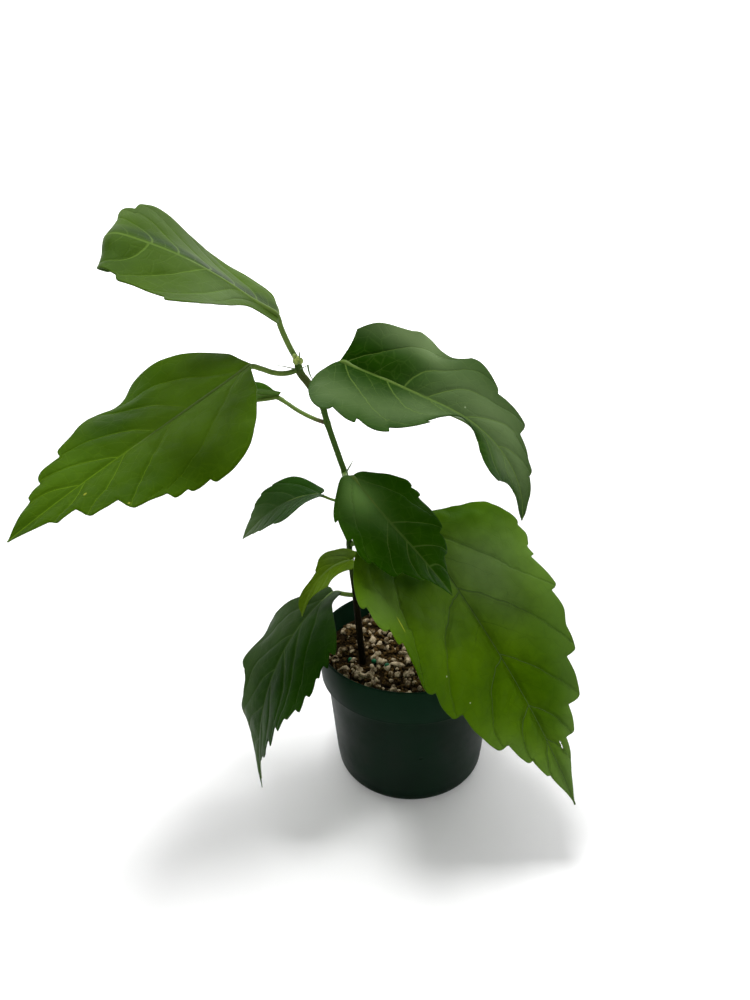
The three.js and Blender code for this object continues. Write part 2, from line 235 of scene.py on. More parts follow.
def pot_plastic():
    gloss = {"Specular_IOR_Level": 0.045, "Specular_Tint": (0.25, 0.5, 0.35)}
    finish, tree, shader = new_finish("pot_plastic", **gloss)
    place = object_place(tree)
    clouds = cloudy(tree, place, 34.0, 5.0, 0.6)
    grain = cloudy(tree, place, 2600.0, 2.0)
    colour = blend_colours(tree, ease(tree, clouds, 0.35, 0.7), POT_GREEN, POT_GREEN_PALE)
    # painted light: the lip is painted a little paler than the body, outside and inside
    height = split(tree, place)["Z"]
    lip_painted_light = ease(tree, height, (LIP_FOOT - 3) * MM, (LIP_FOOT + 3) * MM, 0.0, 0.6)
    colour = blend_colours(tree, lip_painted_light, colour, POT_LIP_PAINTED_LIGHT)
    # the dimple that the mould left
    mark = Vector(MOULD_MARK) * MM
    near = add(tree, "VectorMath", {0: place, 1: mark}, operation="DISTANCE").outputs["Value"]
    dimple = ease(tree, near, 0.0006, 0.0013, 1.0, 0.0)
    colour = blend_colours(tree, calc(tree, "MULTIPLY", dimple, 0.7), colour, POT_DIMPLE)
    relief = calc(tree, "MULTIPLY_ADD", grain, 0.12, calc(tree, "MULTIPLY", dimple, -1.0))
    coat(tree, shader, colour, relief, 0.35, 0.0004)
    tree.links.new(ease(tree, clouds, 0.3, 0.75, 0.36, 0.5), shader.inputs["Roughness"])
    return finish


pot = build_piece("nursery_pot", turn(pot_profile(), steps=160), [pot_plastic()], "pot_plastic", "pot")
drill_drain_holes(pot)

# Growing mix: composted bark and peat with white perlite, filled in loose to below the rim.
# Grains and chips lie on the bed and half in it, with three beads of slow feed on top near the stem.
MIX_LEVEL = 74
MIX_DIP = 1.8
MIX_EDGE = 50.3
STEM_FOOT = Vector((-26.3, -8.3, 0))
STEM_SEAT = 11
# grains keep this far from the middle of the stem
STEM_CLEARANCE = 3.4
GRAIN_EDGE = MIX_EDGE - 2.6
GRAIN_DENT = 0.42
BEAD_PLACES = ((-34.0, -7.3), (-20.5, -8.8), (-13.1, -12.9))
BEAD_RADIUS = 1.45


def smooth_step(value, low, high):
    t = min(max((value - low) / (high - low), 0.0), 1.0)
    return t * t * (3 - 2 * t)


def mix_height(x, y):
    """The top of the bed: low hollows away from the stem, as in the solid soil, with fine lumps."""
    away = smooth_step(math.hypot(x - STEM_FOOT.x, y - STEM_FOOT.y), STEM_SEAT, STEM_SEAT * 2)
    lumps = math.sin(x * 0.31 + 1) * math.sin(y * 0.27) + math.sin(x * 0.13 - y * 0.19)
    crumbs = noise.fractal(Vector((x, y, 3)) * 0.35, 0.6, 2.1, 4)
    return MIX_LEVEL - 0.6 - MIX_DIP * away * (0.5 + 0.25 * lumps) + 1.1 * crumbs


def mix_bed():
    rings = 46
    inner_wall = WALL_TOP_RADIUS - POT_WALL - 0.4
    profile = [
        (0, POT_FLOOR + 0.3),
        (FOOT_RADIUS - FOOT_CORNER, POT_FLOOR + 0.3),
        (FOOT_RADIUS - 2.2, FOOT_CORNER + 0.8),
        (inner_wall, LIP_FOOT - SHOULDER),
        (RIM_RADIUS - LIP_TAPER - POT_WALL - 0.4, LIP_FOOT + POT_WALL),
    ]
    profile += [(MIX_EDGE * (rings - i) / rings, MIX_LEVEL) for i in range(rings + 1)]
    bm = turn(profile, steps=120)
    for vert in bm.verts:
        if vert.co.z > MIX_LEVEL - 0.5:
            vert.co.z = mix_height(vert.co.x, vert.co.y)
    return bm


def crumbly(name, dark, pale, scale, roughness):
    """A rough natural finish whose tint changes from grain to grain."""
    finish, tree, shader = new_finish(name, Roughness=roughness, Specular_IOR_Level=0.03)
    place = object_place(tree)
    tint = cloudy(tree, place, scale, 3.0, 0.7)
    fine = cloudy(tree, place, 1900.0, 4.0, 0.7)
    colour = blend_colours(tree, ease(tree, tint, 0.36, 0.64), dark, pale)
    shade = ease(tree, fine, 0.3, 0.7, 0.55, 1.15)
    grey = add(tree, "CombineColor", {0: shade, 1: shade, 2: shade}).outputs[0]
    colour = blend_colours(tree, 1.0, colour, grey, "MULTIPLY")
    coat(tree, shader, colour, fine, 0.6, 0.0004)
    return finish


def scatter_grains(count, seed, sizes, flatness, sunk, subdivisions):
    """Lumpy grains on the bed, each turned its own way and sunk in by a share of its size."""
    chance = random.Random(seed)
    bm = bmesh.new()
    for i in range(count):
        radius = GRAIN_EDGE * math.sqrt(chance.random())
        turned = chance.random() * math.tau
        x, y = radius * math.cos(turned), radius * math.sin(turned)
        half = chance.uniform(*sizes) / 2
        if math.hypot(x - STEM_FOOT.x, y - STEM_FOOT.y) < STEM_CLEARANCE + half:
            continue
        shape = (half * chance.uniform(0.8, 1.35), half, half * chance.uniform(*flatness), 1)
        tilt = Quaternion([chance.gauss(0, 1) for _ in range(4)]).normalized()
        centre = Vector((x, y, mix_height(x, y) + half * (0.5 - sunk) + 0.4))
        place = Matrix.Translation(centre) @ tilt.to_matrix().to_4x4() @ Matrix.Diagonal(shape)
        made = bmesh.ops.create_icosphere(bm, subdivisions=subdivisions, radius=1, matrix=place)
        for vert in made["verts"]:
            dent = noise.noise(vert.co * 0.9 + Vector((i, 0, 0)))
            vert.co = centre + (vert.co - centre) * (1 + GRAIN_DENT * dent)
    return bm


peat = crumbly("peat_dark", (0.004, 0.0025, 0.0008), (0.022, 0.013, 0.004), 420.0, 0.9)
bark = crumbly("bark_brown", (0.008, 0.005, 0.0015), (0.085, 0.050, 0.015), 260.0, 0.85)
perlite = crumbly("perlite", (0.065, 0.044, 0.018), (0.50, 0.41, 0.27), 170.0, 0.9)
build_piece("mix_bed", mix_bed(), [peat], "bark_mix", "soil")
bark_bits = scatter_grains(1500, 11, (0.9, 3.8), (0.3, 0.8), 0.3, 1)
build_piece("bark_bits", bark_bits, [bark], "bark_mix", "soil")
perlite_grains = scatter_grains(400, 5, (1.3, 4.6), (0.6, 1.0), 0.2, 2)
build_piece("perlite_grains", perlite_grains, [perlite], "bark_mix", "soil")


def feed_beads():
    bm = bmesh.new()
    for x, y in BEAD_PLACES:
        place = Matrix.Translation((x, y, mix_height(x, y) + 1.5))
        bmesh.ops.create_uvsphere(bm, u_segments=24, v_segments=14, radius=BEAD_RADIUS, matrix=place)
    return bm


bead_look = {"Base_Color": (0.002, 0.090, 0.032), "Roughness": 0.4, "Specular_IOR_Level": 0.2}
build_piece("feed_beads", feed_beads(), [new_finish("feed_bead", **bead_look)[0]], "bark_mix", "soil")


def pale_chips():
    """The long pale chip and the curled pale flake that lie on top of the mix."""
    bm = bmesh.new()
    chip = Matrix.Translation((-6.9, -13.1, MIX_LEVEL + 1.1)) @ Matrix.Rotation(-0.35, 4, "Z")
    chip = chip @ Matrix.Diagonal((4.6, 1.5, 1.1, 1))
    made = bmesh.ops.create_icosphere(bm, subdivisions=3, radius=1, matrix=chip)
    for vert in made["verts"]:
        vert.co += vert.normal * 0.4 * noise.noise(vert.co * 0.8)
    flake = Matrix.Translation((-43.0, -5.5, MIX_LEVEL + 0.8)) @ Matrix.Rotation(0.5, 4, "X")
    bmesh.ops.create_circle(bm, segments=20, radius=2.2, matrix=flake)
    ring = [v for v in bm.verts if not v.link_faces]
    edges = [e for e in bm.edges if not e.link_faces]
    inner = bmesh.ops.extrude_edge_only(bm, edges=edges)
    rim = [v for v in inner["geom"] if isinstance(v, bmesh.types.BMVert)]
    bmesh.ops.scale(bm, verts=rim, vec=(0.6, 0.6, 1), space=flake.inverted())
    band = [f for f in bm.faces if all(v in set(ring) | set(rim) for v in f.verts)]
    bmesh.ops.solidify(bm, geom=band, thickness=1.1)
    bmesh.ops.recalc_face_normals(bm, faces=bm.faces)
    return bm


build_piece("pale_chips", pale_chips(), [perlite], "bark_mix", "soil")

# Stem: one slim woody shoot, brown and ridged near the soil and still green higher up.
# It bends a little at each leaf, where a low collar carries the stalk, and thins towards its tip.
STEM_PATH = [
    (-26.8, -8.3, 73.3),
    (-27.7, -8.3, 86.0),
    (-29.6, -8.3, 119.0),
    (-31.8, -8.3, 150.0),
    (-31.0, -8.3, 174.0),
    (-32.6, -8.3, 191.0),
    (-34.8, -8.3, 199.0),
    (-40.1, -8.3, 218.0),
    (-42.8, -8.3, 229.0),
    (-48.7, -8.3, 239.0),
    (-52.0, -8.3, 244.0),
    (-53.0, -8.3, 250.0),
]
# half thickness at some heights: slimmer in the middle, stout again below the youngest leaves
STEM_GIRTH = [
    (73, 1.95), (100, 1.85), (119, 1.7), (150, 1.48), (191, 1.5), (212, 1.5),
    (222, 1.55), (232, 1.85), (241, 1.9), (247, 1.75), (250, 1.35),
]
LEAF_NODES = (250, 245.5, 229, 218, 191, 174, 150, 142, 119)
STEM_SIDES = 30
STEM_BROWN = (0.003, 0.002, 0.0006), (0.014, 0.011, 0.003)
STEM_GREEN = (0.020, 0.050, 0.008), (0.066, 0.125, 0.020)
STEM_RIPENING = (0.06, 0.06, 0.022)


def smooth_route(places, steps):
    """Evenly spaced points on the centripetal curve through the given places."""
    places = [Vector(p) for p in places]
    ends = [places[0] * 2 - places[1], *places, places[-1] * 2 - places[-2]]
    fine = []
    for p0, p1, p2, p3 in zip(ends, ends[1:], ends[2:], ends[3:]):
        t1 = (p1 - p0).length ** 0.5
        t2 = t1 + (p2 - p1).length ** 0.5
        t3 = t2 + (p3 - p2).length ** 0.5
        for i in range(24):
            t = t1 + (t2 - t1) * i / 24
            a1 = p0 * ((t1 - t) / t1) + p1 * (t / t1)
            a2 = p1 * ((t2 - t) / (t2 - t1)) + p2 * ((t - t1) / (t2 - t1))
            a3 = p2 * ((t3 - t) / (t3 - t2)) + p3 * ((t - t2) / (t3 - t2))
            b1 = a1 * ((t2 - t) / t2) + a2 * (t / t2)
            b2 = a2 * ((t3 - t) / (t3 - t1)) + a3 * ((t - t1) / (t3 - t1))
            fine.append(b1 * ((t2 - t) / (t2 - t1)) + b2 * ((t - t1) / (t2 - t1)))
    fine.append(places[-1])
    lengths = [0.0]
    for a, b in zip(fine, fine[1:]):
        lengths.append(lengths[-1] + (b - a).length)
    route = []
    for i in range(steps + 1):
        want = lengths[-1] * i / steps
        j = min(max(bisect_right(lengths, want) - 1, 0), len(fine) - 2)
        route.append(fine[j].lerp(fine[j + 1], (want - lengths[j]) / (lengths[j + 1] - lengths[j])))
    return route


def limb(bm, route, radius_at, sides, relief=None):
    """A round limb along a route: a capped circle, extruded from ring to ring."""
    across = Vector((1, 0, 0.01))
    ring = None
    last = len(route) - 1
    for i, at in enumerate(route):
        heading = (route[min(i + 1, last)] - route[max(i - 1, 0)]).normalized()
        across = (across - heading * across.dot(heading)).normalized()
        turned = heading.cross(across)
        if ring is None:
            ring = bmesh.ops.create_circle(bm, segments=sides, radius=1)["verts"]
            edges = list({e for v in ring for e in v.link_edges})
            first = ring
        else:
            made = bmesh.ops.extrude_edge_only(bm, edges=edges)["geom"]
            fresh = [g for g in made if isinstance(g, bmesh.types.BMVert)]
            edges = [g for g in made if isinstance(g, bmesh.types.BMEdge)]
            edges = [e for e in edges if all(v in fresh for v in e.verts)]
            partner = {e.other_vert(v): v for v in ring for e in v.link_edges if e.other_vert(v) in fresh}
            ring = sorted(fresh, key=lambda v: ring.index(partner[v]))
        for k, vert in enumerate(ring):
            a = math.tau * k / sides
            radius = radius_at(i / last) + (relief(a, i / last, at) if relief else 0)
            vert.co = at + (across * math.cos(a) + turned * math.sin(a)) * radius
    bm.faces.new(first)
    bm.faces.new(ring)
    return bm


def between(table, x):
    """Reads a table of places and values smoothly."""
    i = min(max(bisect_right([row[0] for row in table], x) - 1, 0), len(table) - 2)
    (x0, y0), (x1, y1) = table[i], table[i + 1]
    return y0 + (y1 - y0) * smooth_step(x, x0, x1)


def bark_relief(a, t, at):
    """Long ridges in the bark, and the collars at the leaves."""
    woody = 1 - smooth_step(t, 0.25, 0.7)
    ridges = noise.noise(Vector((math.cos(a) * 2.2, math.sin(a) * 2.2, at.z * 0.11)))
    pores = noise.noise(Vector((math.cos(a) * 5, math.sin(a) * 5, at.z * 0.9)))
    collars = sum(math.exp(-((at.z - z) / 1.7) ** 2) for z in LEAF_NODES)
    relief = 0.22 * woody * ridges + (0.05 + 0.09 * woody) * pores + 0.22 * collars
    return between(STEM_GIRTH, at.z) + relief


def stem_bark():
    finish, tree, shader = new_finish("stem_bark", Roughness=0.7, Specular_IOR_Level=0.04)
    place = object_place(tree)
    height = split(tree, place)["Z"]
    stretched = add(tree, "Mapping", {"Vector": place, "Scale": (1, 1, 0.16)}).outputs[0]
    streaks = cloudy(tree, stretched, 700.0, 4.0, 0.65)
    patches = cloudy(tree, place, 70.0, 3.0)
    brown = blend_colours(tree, streaks, *STEM_BROWN)
    fresh = blend_colours(tree, streaks, *STEM_GREEN)
    young = ease(tree, calc(tree, "MULTIPLY_ADD", patches, 0.06, height), 0.14, 0.205)
    colour = blend_colours(tree, young, brown, fresh)
    # a brownish stretch just under the buds
    below = ease(tree, height, 0.228, 0.238)
    above = ease(tree, height, 0.242, 0.248, 1.0, 0.0)
    ripe = calc(tree, "MULTIPLY", calc(tree, "MULTIPLY", below, above), 0.6)
    colour = blend_colours(tree, ripe, colour, STEM_RIPENING)
    coat(tree, shader, colour, streaks, 0.6, 0.0005)
    return finish


stem_route = smooth_route(STEM_PATH, steps=330)
stem = limb(bmesh.new(), stem_route, lambda t: 0.0, STEM_SIDES, bark_relief)
bmesh.ops.recalc_face_normals(stem, faces=stem.faces)
build_piece("stem", stem, [stem_bark()], "stem_bark", "stem")

# Leaves: soft flat blades, each on a round stalk that runs on under the blade as its midrib.
# Veins leave the midrib in pairs, and the blade puffs up between them and ends in blunt teeth.
BLADE_START = 0.06
BLADE_ROUND = 0.08
BLADE_SWEEP = 0.1
BLADE_THICKNESS = 0.42
# neither half of a blade gets narrower than this
BLADE_LEAST = 0.3
# the fewest rows, and columns to a half, of the blade's grid, and how many a millimetre brings
BLADE_ROWS, ROWS_PER_MM = 90, 1.45
BLADE_COLUMNS, COLUMNS_PER_MM = 16, 0.75
FLAT_CURL = (0, 0.5, 0.2)
# the tissue puffs up in full this far from the midrib, and between veins this far apart
PUFF_RUN = 7
PUFF_GAP = 14
QUILT_SIZE = 7
GROOVE_WIDTH = 1.3
BLADE_MAPS = ("flat", "veins", "reach", "painted_sheen_and_shade")
# one unit of the blade's maps is this many millimetres
MAP_UNIT = 100
# half widths in those units, where a vein starts and where it ends
RIB_WIDTH = (0.0085, 0.0035)
VEIN_WIDTH = (0.0072, 0.0022)
SMALL_VEIN_WIDTH = (0.0035, 0.001)
CORE_WIDTH = (0.0034, 0.001)
VALLEY_WIDTH = (0.034, 0.014)
# cells to a unit of the map in each net, and the width of its lines as a share of a cell
NETS = ((17.0, 0.07), (85.0, 0.16))
STALK_SIDES = 14
STALK_END = 0.14
KEEL_SHARE = 0.8
RIB_RUN = 0.12
RIB_SIDES = 6
RIB_SHARE = 0.26
RIB_END = 0.08

# Places on a blade are u, along it from 0 to 1, and v, across it from -1 to 1, above 0 on side 0.
# node is the leaf's height on the stem; its stalk runs from there past bend to the blade's base.
# stalk is the stalk's half thickness, length the blade's own length, and wide its half width on each side.
# heading, pitch and roll are the midrib's angles at its base, middle and tip.
# fold lifts each half from the midrib, and cup bends it further up towards its margin.
# wave is the ripple of the margin: its height, its count along the blade, and its phase on each side.
# tip and shoulder shape the smooth ovate outline, and lobe and round its base corners.
# curl turns the blade under: by how much, from where, and over what run.
# puff is how far the tissue rises between veins, and keel how deep the midrib hangs under the blade.
# humps are u, v, their spread along and across, and their height.
# spots of painted light are u, v, their spread along and across, and an amount: painted sheen and sunlight
# above 0, painted shade and shadow below.
# marks are small blemishes: u, v, half length, half width and colour. slits are tears, with no colour.
# edges give each side's margin against the smooth outline: one list of places, u and reach, for each tooth.
# veins give where each side vein leaves the midrib, crosses the half way line, and meets the margin.
LEAVES = {}
LEAVES["leaf_top"] = dict(
    node=250, bend=(-57.7, -11, 260), base=(-60, -17, 272), stalk=1.4, length=124, wide=(40, 36),
    heading=(210, 195, 176), pitch=(37, 26, 5), roll=(-20, -30, -52), fold=(-8, -12), cup=(36, 22),
    wave=(4, 1.5, -20, 126), tip=1.18, shoulder=0.36, lobe=(0, 0), curl=(150, 0.58, 0.14), puff=0.35,
    keel=0.6,
    humps=((0.0, -0.6, 0.12, 0.5, 5), (0.4, 0, 0.28, 0.4, 3)),
    # painted sheen and painted shade
    painted_sheen_and_shade=(
        (0.25, -0.15, 0.25, 0.17, -1.4), (0.5, -0.25, 0.1, 0.17, -0.6), (0.62, 0.5, 0.1, 0.6, -0.6),
        (0.19, 0.42, 0.1, 0.25, 0.6), (0.35, 0.2, 0.15, 0.2, 0.2), (0.5, -0.9, 0.15, 0.2, 0.5),
    ),
    edges=([
        [(0, 0.2), (0.14, 0.2), (0.23, 0.6), (0.3, 1.1)], [(0.3, 1.0), (0.35, 1.04), (0.395, 1.06)],
        [(0.4, 0.95), (0.48, 0.9), (0.55, 0.95)], [(0.555, 0.82), (0.63, 0.77), (0.71, 0.62)],
        [(0.71, 0.56), (0.8, 0.7), (0.9, 0.9), (1, 1)],
    ], [
        [(0, 0.86), (0.05, 0.84), (0.13, 0.89), (0.2, 0.96), (0.35, 0.97), (0.48, 1.05), (0.555, 1.02)],
        [(0.555, 0.9), (0.63, 0.9), (0.7, 0.96)], [(0.7, 0.92), (0.8, 1.0)], [(0.8, 0.85), (1, 1)],
    ]),
    veins=([
        (0.02, 0.18, 0.34), (0.15, 0.3, 0.45), (0.31, 0.44, 0.57), (0.51, 0.55, 0.66), (0.66, 0.72, 0.8),
    ], [
        (0.0, 0.01, 0.12), (0.1, 0.12, 0.24), (0.2, 0.2, 0.34), (0.3, 0.32, 0.55), (0.41, 0.45, 0.62),
        (0.5, 0.55, 0.74), (0.65, 0.72, 0.84),
    ]),
)
LEAVES["leaf_left"] = dict(
    node=245.5, bend=(-62.4, -11, 241.5), base=(-73, -21, 252), stalk=1.3, length=132, wide=(45, 33),
    heading=(198, 224, 239), pitch=(-32, -20, -17), roll=(-21, -20, -12), fold=(13, 4), cup=(-19, -10),
    wave=(4, 2, -72, -33), tip=1.08, shoulder=0.46, lobe=(-0.02, -0.02), puff=0.9,
    # painted sheen and painted shade
    painted_sheen_and_shade=(
        (0.12, 0, 0.2, 0.42, 0.95), (0.4, 0.15, 0.12, 0.35, 0.7), (0.27, 0.5, 0.09, 0.3, 0.6),
        (0.28, -0.3, 0.1, 0.25, 0.3), (0.68, -0.5, 0.1, 0.5, 0.25), (1, 0, 0.1, 2, -0.3),
        (0.48, -0.65, 0.14, 0.35, -0.65), (0.5, 0.8, 0.2, 0.4, -0.25),
    ),
    marks=((0.74, 0.4, 1.1, 0.7, (0.26, 0.28, 0.03)), (0.67, 0.92, 0.8, 0.6, (0.28, 0.30, 0.04))),
    edges=([
        [(0, 0.66), (0.04, 0.88), (0.08, 0.98), (0.15, 1.06), (0.25, 1.06), (0.38, 1.02)],
        [(0.385, 0.96), (0.47, 1.0)], [(0.475, 0.96), (0.54, 1.05)],
        [(0.545, 0.96), (0.61, 1.04), (0.685, 1.17)], [(0.69, 0.87), (0.74, 0.99), (0.795, 1.1)],
        [(0.8, 0.67), (0.84, 0.82), (0.875, 1.0)], [(0.88, 0.73), (0.93, 0.82), (1, 1)],
    ], [
        [(0, 0.98), (0.05, 1.01), (0.12, 1.04), (0.2, 1.1), (0.28, 1.12), (0.38, 0.94), (0.46, 1.06),
         (0.52, 1.04), (0.58, 0.97), (0.66, 1.0)],
        [(0.665, 0.88), (0.7, 0.97), (0.74, 1.06), (0.77, 1.04)],
        [(0.77, 0.9), (0.8, 0.99), (0.84, 1.02)], [(0.84, 0.87), (0.9, 0.93), (1, 1)],
    ]),
    veins=([
        (0.02, 0.28, 0.64), (0.33, 0.54, 0.68), (0.53, 0.69, 0.79), (0.7, 0.8, 0.88),
    ], [
        (0.03, 0.21, 0.41), (0.27, 0.35, 0.46), (0.4, 0.52, 0.7), (0.56, 0.67, 0.78), (0.72, 0.79, 0.86),
    ]),
)
LEAVES["leaf_right"] = dict(
    node=229, bend=(-38, -18, 240), base=(-32, -24, 253), stalk=1.3, length=123, wide=(34, 48),
    heading=(-35, -9, -35), pitch=(-15, -33, -93), roll=(34, 13, 21), fold=(28, 2), cup=(-14, 35),
    wave=(6, 2, 49, 96), tip=1.12, shoulder=0.45, lobe=(-0.015, 0.03), round=(0, 0.055), puff=0.7,
    keel=0.6,
    humps=(
        (0.33, 0, 0.15, 0.35, -2), (0.06, -1, 0.08, 0.4, -1), (0.27, -1, 0.1, 0.4, -2),
        (0.47, -1, 0.09, 0.5, 5), (0.63, -1, 0.07, 0.5, -3),
    ),
    # painted sheen
    painted_sheen_and_shade=(
        (0.6, 0.4, 0.2, 0.6, 0.8), (0.85, 0.2, 0.15, 1, 0.45), (0.2, 1, 0.15, 0.3, 1.1),
        (0.28, 0.68, 0.1, 0.2, 0.5), (0.4, 0.2, 0.1, 0.5, 0.2), (0.23, -0.55, 0.15, 0.3, 0.42),
        (0.06, -0.6, 0.1, 0.35, 0.35), (0.32, -0.2, 0.08, 0.2, 0.2), (0.42, -0.6, 0.1, 0.4, 0.35),
        (0.75, -0.4, 0.12, 0.3, 0.3),
    ),
    marks=((0.5, 0.16, 0.5, 0.5, (0.30, 0.38, 0.20)),),
    edges=([
        [(0, 0.7), (0.05, 0.735), (0.11, 0.75), (0.15, 0.77), (0.19, 0.84), (0.225, 0.97), (0.27, 1.0),
         (0.317, 0.9), (0.367, 0.84), (0.42, 0.93)],
        [(0.42, 0.97), (0.45, 0.97), (0.5, 0.9), (0.555, 0.84)],
        [(0.56, 0.77), (0.6, 0.86), (0.65, 1.0), (0.695, 1.1)],
        [(0.7, 0.8), (0.75, 0.81), (0.79, 0.79), (0.833, 0.88)],
        [(0.835, 0.7), (0.9, 0.73), (0.94, 0.68), (1, 1)],
    ], [
        [(0, 0.62), (0.013, 0.74), (0.037, 0.88), (0.07, 0.91), (0.11, 0.82)],
        [(0.113, 0.74), (0.15, 0.88), (0.185, 0.9)], [(0.19, 0.78), (0.22, 0.9), (0.275, 1.02)],
        [(0.28, 0.84), (0.32, 0.92), (0.365, 1.08)],
        [(0.37, 0.8), (0.42, 0.7), (0.5, 0.48), (0.56, 0.28), (0.6, 0.27), (0.62, 0.34)],
        [(0.63, 0.46), (0.66, 0.7), (0.7, 0.88), (0.745, 0.94)],
        [(0.75, 0.86), (0.78, 0.72), (0.85, 0.54), (0.92, 0.62), (1, 1)],
    ]),
    veins=([
        (0.02, 0.15, 0.42), (0.27, 0.34, 0.55), (0.36, 0.49, 0.7), (0.52, 0.64, 0.79), (0.68, 0.76, 0.84),
    ], [
        (0.02, 0.2, 0.36), (0.2, 0.36, 0.5), (0.38, 0.52, 0.64), (0.55, 0.66, 0.77), (0.7, 0.78, 0.86),
    ]),
)
LEAVES["leaf_back"] = dict(
    node=218, bend=(-54, 1, 219.5), base=(-66, 11, 227), stalk=1.1, length=60, wide=(16, 16),
    heading=(172, 178, 182), pitch=(-8, -18, -30), roll=(0, 0, 0), fold=(50, 50), cup=(0, 0),
    wave=(1, 2, 0, 90), tip=1.05, shoulder=0.45, lobe=(0.04, 0.04), puff=0.3,
    edges=([
        [(0, 0.2), (0.05, 0.45), (0.1, 0.52), (0.2, 0.66), (0.34, 0.9)], [(0.34, 0.84), (0.48, 0.96)],
        [(0.48, 0.88), (0.62, 1.0)], [(0.62, 0.9), (0.75, 1.02)], [(0.75, 0.9), (1, 1)],
    ], [
        [(0, 0.2), (0.06, 0.27), (0.1, 0.44), (0.15, 0.6), (0.22, 0.72), (0.3, 0.86)],
        [(0.3, 0.82), (0.43, 0.94)], [(0.43, 0.88), (0.57, 0.98)], [(0.57, 0.9), (0.7, 1.02)],
        [(0.7, 0.9), (0.84, 1.02)], [(0.84, 0.88), (1, 1)],
    ]),
    veins=([
        (0.0, 0.18, 0.4), (0.24, 0.37, 0.55), (0.45, 0.56, 0.7), (0.64, 0.72, 0.82),
    ], [
        (0.0, 0.17, 0.36), (0.2, 0.33, 0.5), (0.4, 0.52, 0.65), (0.6, 0.68, 0.8),
    ]),
)
LEAVES["leaf_centre"] = dict(
    node=191, bend=(-32, -27, 193), base=(-28, -34, 200), stalk=1.2, length=74, wide=(21, 24),
    heading=(-52, -40, -31), pitch=(-29, -36, -47), roll=(4, 12, -11), fold=(10, 10), cup=(-8, -26),
    wave=(3, 2, -12, 188), tip=1.03, shoulder=0.6, lobe=(0.008, 0.02), puff=0.3, keel=0.6,
    humps=((0.35, 0, 0.25, 0.3, -1.2),),
    # painted sheen
    painted_sheen_and_shade=((0.15, -0.25, 0.15, 0.4, 1), (0.42, -0.1, 0.1, 0.25, 0.15)),
    edges=([
        [(0, 0.98), (0.12, 0.93), (0.18, 1.04), (0.24, 1.03)],
        [(0.245, 0.98), (0.28, 1.08), (0.32, 1.08)],
        [(0.325, 0.99), (0.42, 1.04), (0.52, 1.03), (0.62, 1.06)],
        [(0.62, 0.91), (0.67, 1.04), (0.72, 1.14), (0.765, 1.18)], [(0.77, 0.95), (0.86, 0.99), (1, 1)],
    ], [
        [(0, 0.98), (0.1, 1.0), (0.185, 1.02)], [(0.19, 0.92), (0.26, 0.98), (0.345, 1.05)],
        [(0.345, 0.93), (0.42, 1.03), (0.52, 1.03)], [(0.525, 0.96), (0.6, 1.02), (0.68, 1.12)],
        [(0.685, 0.9), (0.75, 0.96), (0.8, 0.98)], [(0.805, 0.83), (0.9, 0.8), (1, 1)],
    ]),
    veins=([
        (0.0, 0.22, 0.58), (0.41, 0.5, 0.61), (0.62, 0.67, 0.75), (0.77, 0.8, 0.87),
    ], [
        (0.0, 0.21, 0.56), (0.39, 0.53, 0.69), (0.56, 0.69, 0.8), (0.74, 0.81, 0.88),
    ]),
)
LEAVES["leaf_small"] = dict(
    node=174, bend=(-41, -10, 177), base=(-46, -11, 181), stalk=0.7, length=49, wide=(15, 16),
    heading=(183, 184, 181), pitch=(2, -32, -50), roll=(8, -11, -8), fold=(4, 11), cup=(1, 17),
    wave=(0.5, 2, 0, 0), tip=0.96, shoulder=0.48, lobe=(0.06, 0.06), puff=0.25,
    # painted sheen
    painted_sheen_and_shade=((0.85, 0, 0.25, 2, 0.6), (0.4, 0, 0.2, 2, 0.12)),
    edges=([
        [(0, 1), (0.2, 1.06), (0.42, 1.1), (0.5, 1.06)], [(0.5, 1.0), (0.62, 1.05), (0.72, 1.04)],
        [(0.72, 0.96), (0.82, 1.0)], [(0.82, 0.92), (1, 1)],
    ], [
        [(0, 1), (0.1, 1.0), (0.2, 1.03), (0.42, 1.01)], [(0.42, 0.97), (0.56, 1.02)],
        [(0.56, 0.96), (0.68, 1.0)], [(0.68, 0.93), (0.78, 0.95)], [(0.78, 0.86), (1, 1)],
    ]),
    veins=([
        (0.0, 0.17, 0.42), (0.22, 0.35, 0.54), (0.43, 0.54, 0.69), (0.63, 0.71, 0.82),
    ], [
        (0.0, 0.18, 0.4), (0.26, 0.38, 0.56), (0.47, 0.57, 0.71), (0.66, 0.74, 0.84),
    ]),
)
